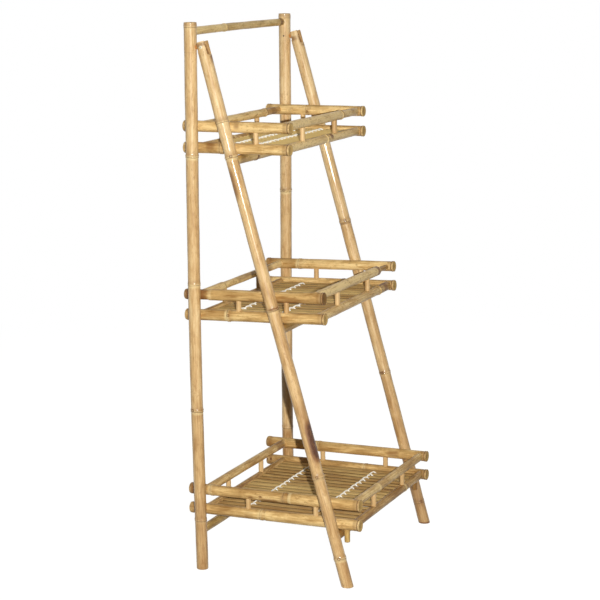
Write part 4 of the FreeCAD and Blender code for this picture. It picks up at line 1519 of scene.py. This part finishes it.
def seen_plainly(graph: Graph) -> NodeSocket:
    """Returns 1 on rays that show a surface itself: from the camera, a reflection or through glass."""
    path = graph.add("ShaderNodeLightPath").outputs
    seen = graph.math("MAXIMUM", path["Is Camera Ray"], path["Is Glossy Ray"])
    return graph.math("MAXIMUM", seen, path["Is Transmission Ray"])


def direction(azimuth: float, elevation: float) -> Vector:
    """Returns the way from the object at an azimuth and an elevation in degrees, 0 being the front."""
    turn, rise = math.radians(azimuth), math.radians(elevation)
    return Vector((math.sin(turn) * math.cos(rise), -math.cos(turn) * math.cos(rise), math.sin(rise)))


@dataclass
class Studio:
    """The camera, the lamps, the world and the floor. Angles are degrees."""

    azimuth: float = -66.81
    elevation: float = 10.53
    roll: float = -0.75
    position: tuple[float, float, float] = (-3.5601, -1.5041, 1.2425)
    lens: float = 114.38
    sensor: float = 36.0
    view_end: float = 60.0
    key_turn: float = -1.5
    key_height: float = 11.0
    key_target: tuple[float, float, float] = (0, 0, 0.5)
    key_distance: float = 3.67
    key_size: float = 0.035
    key_power: float = 134.0
    ambient: float = 0.013
    overhead: float = 0.36
    behind: float = 0.8
    fill: tuple[float, float, float] = (1.0, 0.9, 0.7)
    floor_reach: float = 30.0
    floor_paint: float = 0.15
    floor_glow: float = 0.985
    floor_edge: tuple[float, float] = (1.2, 2.6)
    white: Colour = (1, 1, 1, 1)

    def build(self) -> None:
        """Makes everything that isn't the object."""
        self.build_camera()
        self.build_key()
        self.build_world()
        self.build_floor()

    def build_camera(self) -> None:
        """Makes the camera."""
        back = direction(self.azimuth, self.elevation)
        roll = math.radians(self.roll)
        right = (-back).cross(Vector((0, 0, 1))).normalized()
        up = right.cross(-back)
        right, up = right * math.cos(roll) + up * math.sin(roll), up * math.cos(roll) - right * math.sin(roll)
        camera = bpy.data.cameras.new("camera")
        camera.lens = self.lens
        camera.sensor_width = self.sensor
        camera.clip_end = self.view_end
        holder = bpy.data.objects.new("camera", camera)
        turned = Matrix((right, up, back)).transposed().to_4x4()
        holder.matrix_world = Matrix.Translation(Vector(self.position)) @ turned
        bpy.context.scene.collection.objects.link(holder)
        bpy.context.scene.camera = holder

    def build_key(self) -> None:
        """Makes the one key lamp, just to the right of the camera and at its height."""
        way = direction(self.azimuth - self.key_turn, self.key_height)
        lamp = bpy.data.lights.new("key", "AREA")
        lamp.shape = "DISK"
        lamp.size = self.key_size
        lamp.energy = self.key_power
        holder = bpy.data.objects.new("key", lamp)
        place = Matrix.Translation(Vector(self.key_target) + way * self.key_distance)
        holder.matrix_world = place @ way.to_track_quat("Z", "Y").to_matrix().to_4x4()
        bpy.context.scene.collection.objects.link(holder)

    def build_world(self) -> None:
        """Makes a world that is white to the camera and a soft fill, mostly from above, to the object."""
        world = bpy.data.worlds.new("world")
        world.use_nodes = True
        bpy.context.scene.world = world
        world.node_tree.nodes.clear()
        graph = Graph(world.node_tree)
        seen = seen_plainly(graph)
        way = graph.add("ShaderNodeTexCoord").outputs["Generated"]
        soft = self.ambient
        for side, power in ((Vector((0, 0, 1)), self.overhead), (-TO_CAMERA, self.behind)):
            facing = graph.math("MAXIMUM", graph.vector("DOT_PRODUCT", way, side), 0.0)
            near = graph.math("POWER", facing, 2.0)
            soft = graph.plus(graph.times(near, power), soft)
        strength = graph.take("ShaderNodeMix", {0: seen, 2: soft, 3: 1.0})
        shade = graph.take("ShaderNodeBackground", {
            "Color": graph.mix(seen, self.fill + (1,), self.white), "Strength": strength})
        graph.add("ShaderNodeOutputWorld", {0: shade})

    def build_floor(self) -> None:
        """Makes a white floor that keeps the object's shadow."""
        mesh = bpy.data.meshes.new("floor")
        corners = [(x * self.floor_reach, y * self.floor_reach, 0)
                   for x, y in ((-1, -1), (1, -1), (1, 1), (-1, 1))]
        mesh.from_pydata(corners, [], [(0, 1, 2, 3)])
        material, graph = new_material("floor")
        seen = seen_plainly(graph)
        paint = graph.take("ShaderNodeBsdfDiffuse", {
            "Color": tuple(self.floor_paint * part for part in self.fill) + (1,)})
        glow = graph.take("ShaderNodeEmission", {
            "Color": self.white, "Strength": graph.times(seen, self.floor_glow)})
        far = graph.take("ShaderNodeEmission", {
            "Color": self.white, "Strength": graph.remap(seen, 0, 1, self.ambient, 1.0, False)})
        away = graph.vector("LENGTH", graph.add("ShaderNodeTexCoord").outputs["Object"])
        both = graph.take("ShaderNodeMixShader", {
            0: graph.remap(away, *self.floor_edge), 1: graph.take("ShaderNodeAddShader", {0: paint, 1: glow}),
            2: far})
        graph.add("ShaderNodeOutputMaterial", {0: both})
        mesh.materials.append(material)
        add_object(mesh)


def tray_set(finishes: Finishes, trees: Trees) -> list[Tray]:
    """Lays out the three trays.

    Args:
        finishes: the materials.
        trees: the geometry trees.
    Returns:
        The trays from top to bottom.
    """
    top = Tray(
        "top", finishes, trees, 855.03 * MM, 42 * MM, 27 * MM, 194.4 * MM, 29 * MM, 0.0, 21, (0.33, 0.61),
        SpacerShares((0.372, 0.688), (0.255, 0.675), (0.27, 0.7)),
        side_looks={
            "upper_left": RailLook(
                stains=(StainOrPaintedLight(0.513, 9, -10, 60, 0.8),), tones=(0.0,), end_shift=(0, -5, 0)),
            "upper_right": RailLook((NodeMark(0.42, bud=30, rise=0.4, pale=0.2),), tones=(0.1, 0.2)),
            "lower_left": RailLook(
                (NodeMark(0.35, pale=0.4),), (StainOrPaintedLight(0.263, 14, -20, 80, 0.8),), (-0.15, 0.08),
                end_shift=(0, -3.5, 0)),
            "lower_right": RailLook(tones=(-0.05,))},
        # The front rails' and the upper rear rail's tones are raised as painted light, since cross rails
        # catch the key at a grazing angle.
        cross_looks={
            "front_upper": RailLook(
                (NodeMark(0.757, pale=0.2),), (ring(0.766, 4, 1.8), ring(0.92, 24, 0.5)), (0.75, 0.3),
                radii=(1.1, 1.1), steps=((0.763, 0.84),), start_shift=(-4, 0, 1)),
            "front_lower": RailLook(
                (NodeMark(0.54, bud=-30, rise=1.3, pale=0.8),), (StainOrPaintedLight(0.6, 9, -20, 70, 1.6),
                StainOrPaintedLight(0.4, 24, -62, 12, 2.2), StainOrPaintedLight(0.76, 26, -62, 12, 2.2)), (0.6, 0.55),
                radii=(1.06, 1.0)),
            "rear_upper": RailLook(
                (NodeMark(0.8, pale=0.2),), (ring(0.808, 4, 1.6), ring(0.9, 20, 0.7)), (0.4, 0.1),
                steps=((0.806, 0.86),)),
            "rear_lower": RailLook((NodeMark(0.4),), (), (-0.1, -0.1))},
        # slat_tone=1.0 is painted light for slats that the key reaches at a grazing angle.
        seed=100, slat_tone=1.0)
    middle = Tray(
        "middle", finishes, trees, 520.52 * MM, 41 * MM, 27 * MM, 262.4 * MM, 34 * MM, 1.5, 15,
        (0.265, 0.655), SpacerShares((0.39, 0.738), (0.278, 0.694), (0.27, 0.69)),
        side_looks={
            "upper_left": RailLook(
                (), (ring(0.07, 42, 1.2), ring(0.185, 7, -0.8), StainOrPaintedLight(0.75, 40, 30, 60, 0.5),
                # The pale streak at -46 degrees along the upper side is a painted highlight; the streak at 66
                # degrees along the lower side is a reddish stain deepened as painted shade.
                StainOrPaintedLight(0.58, 110, -46, 9, -1.0), StainOrPaintedLight(0.6, 110, 66, 24, 0.5), ring(1.0, 2.4, 2.4)),
                (-0.15,), radii=(0.9, 0.92), steps=((0.17, 1.12),), end_shift=(0, -4, 0)),
            "upper_right": RailLook((NodeMark(0.26, pale=1.2),), (ring(0.15, 40, 0.4),), (-0.1, 0.15)),
            "lower_left": RailLook(
                (NodeMark(0.31, bud=0, rise=1.2, pale=1.5),), (), (-0.15, -0.12), end_shift=(0, -5, 0)),
            "lower_right": RailLook((NodeMark(0.6),), (), (0.15, 0.2))},
        # The upper cross rails' tones are raised as painted light, since cross rails catch the key at a
        # grazing angle.
        cross_looks={
            "front_upper": RailLook(
                (), (ring(0.0, 12, 0.8), ring(0.97, 10, 1.2), StainOrPaintedLight(0.5, 60, 70, 50, 0.6)), (0.7,),
                radii=(1.14, 1.12), cuts=(EndCut.OPEN, EndCut.OPEN), start_shift=(-6, 0, 3),
                tenon_share=0.85),
            "front_lower": RailLook(
                (NodeMark(0.84, rise=1.1, pale=0.2),), (ring(0.92, 14, 1.0),), (0.05, -0.15),
                radii=(1.08, 1.06)),
            "rear_upper": RailLook(
                (), (ring(0.245, 3, 1.0), StainOrPaintedLight(0.5, 60, -20, 70, 0.8), ring(0.74, 60, 0.9)), (0.65,),
                steps=((0.24, 0.85),)),
            "rear_lower": RailLook((NodeMark(0.35),), (), (-0.2, -0.2))},
        seed=200, slat_tone=0.0)
    bottom = Tray(
        "bottom", finishes, trees, 117.48 * MM, 40.5 * MM, 30 * MM, 336.1 * MM, 39.5 * MM, 0.0, 17,
        (0.25, 0.705), SpacerShares((0.352, 0.744), (0.28, 0.701), (0.262, 0.68)),
        # Rail tones and slat_tone on this tray are set darker, partly as painted shade.
        side_looks={
            "upper_left": RailLook(
                (NodeMark(0.13, pale=0.9), NodeMark(0.56, rise=0.9, pale=0.2)), (ring(0.06, 26, 0.8),
                StainOrPaintedLight(0.56, 8, 20, 90, 0.55), ring(0.598, 5, -0.8), StainOrPaintedLight(0.37, 9, 30, 26, 1.0),
                StainOrPaintedLight(0.43, 5, 12, 14, 1.6), StainOrPaintedLight(0.48, 30, 52, 30, 0.9)), (-0.3, -0.15, -0.1),
                radii=(0.97, 0.97), steps=((0.585, 1.09),), start_shift=(0, -4, 0)),
            "upper_right": RailLook(
                (NodeMark(0.33),), (StainOrPaintedLight(0.8, 20, 0, 60, 0.7), StainOrPaintedLight(0.62, 30, 20, 60, 0.4)),
                (-0.2, -0.15)),
            "lower_left": RailLook(
                (NodeMark(0.425, pale=0.8),), (StainOrPaintedLight(0.36, 16, 40, 90, 0.5),), (0.05, 0.12),
                radii=(0.98, 0.98), steps=((0.45, 1.06),), start_shift=(0, -4, 0)),
            "lower_right": RailLook(
                (NodeMark(0.62),), (StainOrPaintedLight(0.25, 30, 0, 90, 0.5), StainOrPaintedLight(0.008, 2, 0, 14, 4.0),
                StainOrPaintedLight(0.03, 2, -5, 14, 4.0)), (-0.2, -0.2))},
        cross_looks={
            "front_upper": RailLook(
                (NodeMark(0.34),), (ring(0.02, 10, 0.8),), (0.2, 0.1), start_shift=(-9, 0, 2)),
            "front_lower": RailLook((NodeMark(0.72),), (StainOrPaintedLight(0.4, 40, 60, 70, 0.5),), (-0.3, -0.3)),
            "rear_upper": RailLook((), (ring(0.92, 30, 0.8),), (0.05,)),
            "rear_lower": RailLook((), (StainOrPaintedLight(0.4, 120, -20, 20, 0.9),), (-0.2,))},
        seed=300, slat_tone=-0.2)
    return [top, middle, bottom]


def main() -> None:
    """Builds the etagere and its studio, and reports each piece."""
    logging.basicConfig(level=logging.INFO, format="%(name)s: %(message)s")
    finishes = Finishes()
    trees = Trees()
    Studio().build()
    trays = tray_set(finishes, trees)
    bars = {tray.name: tray.crossbar_place(FrontFrame.bar_radius) for tray in trays}
    RearFrame(finishes).build()
    FrontFrame(finishes, crossbars=bars).build()
    for tray in trays:
        tray.build()
    trays[-1].build_pegs(bars["bottom"][0], FrontFrame.bar_radius)
    bpy.context.scene.view_settings.view_transform = "Standard"


if __name__ == "__main__":
    main()
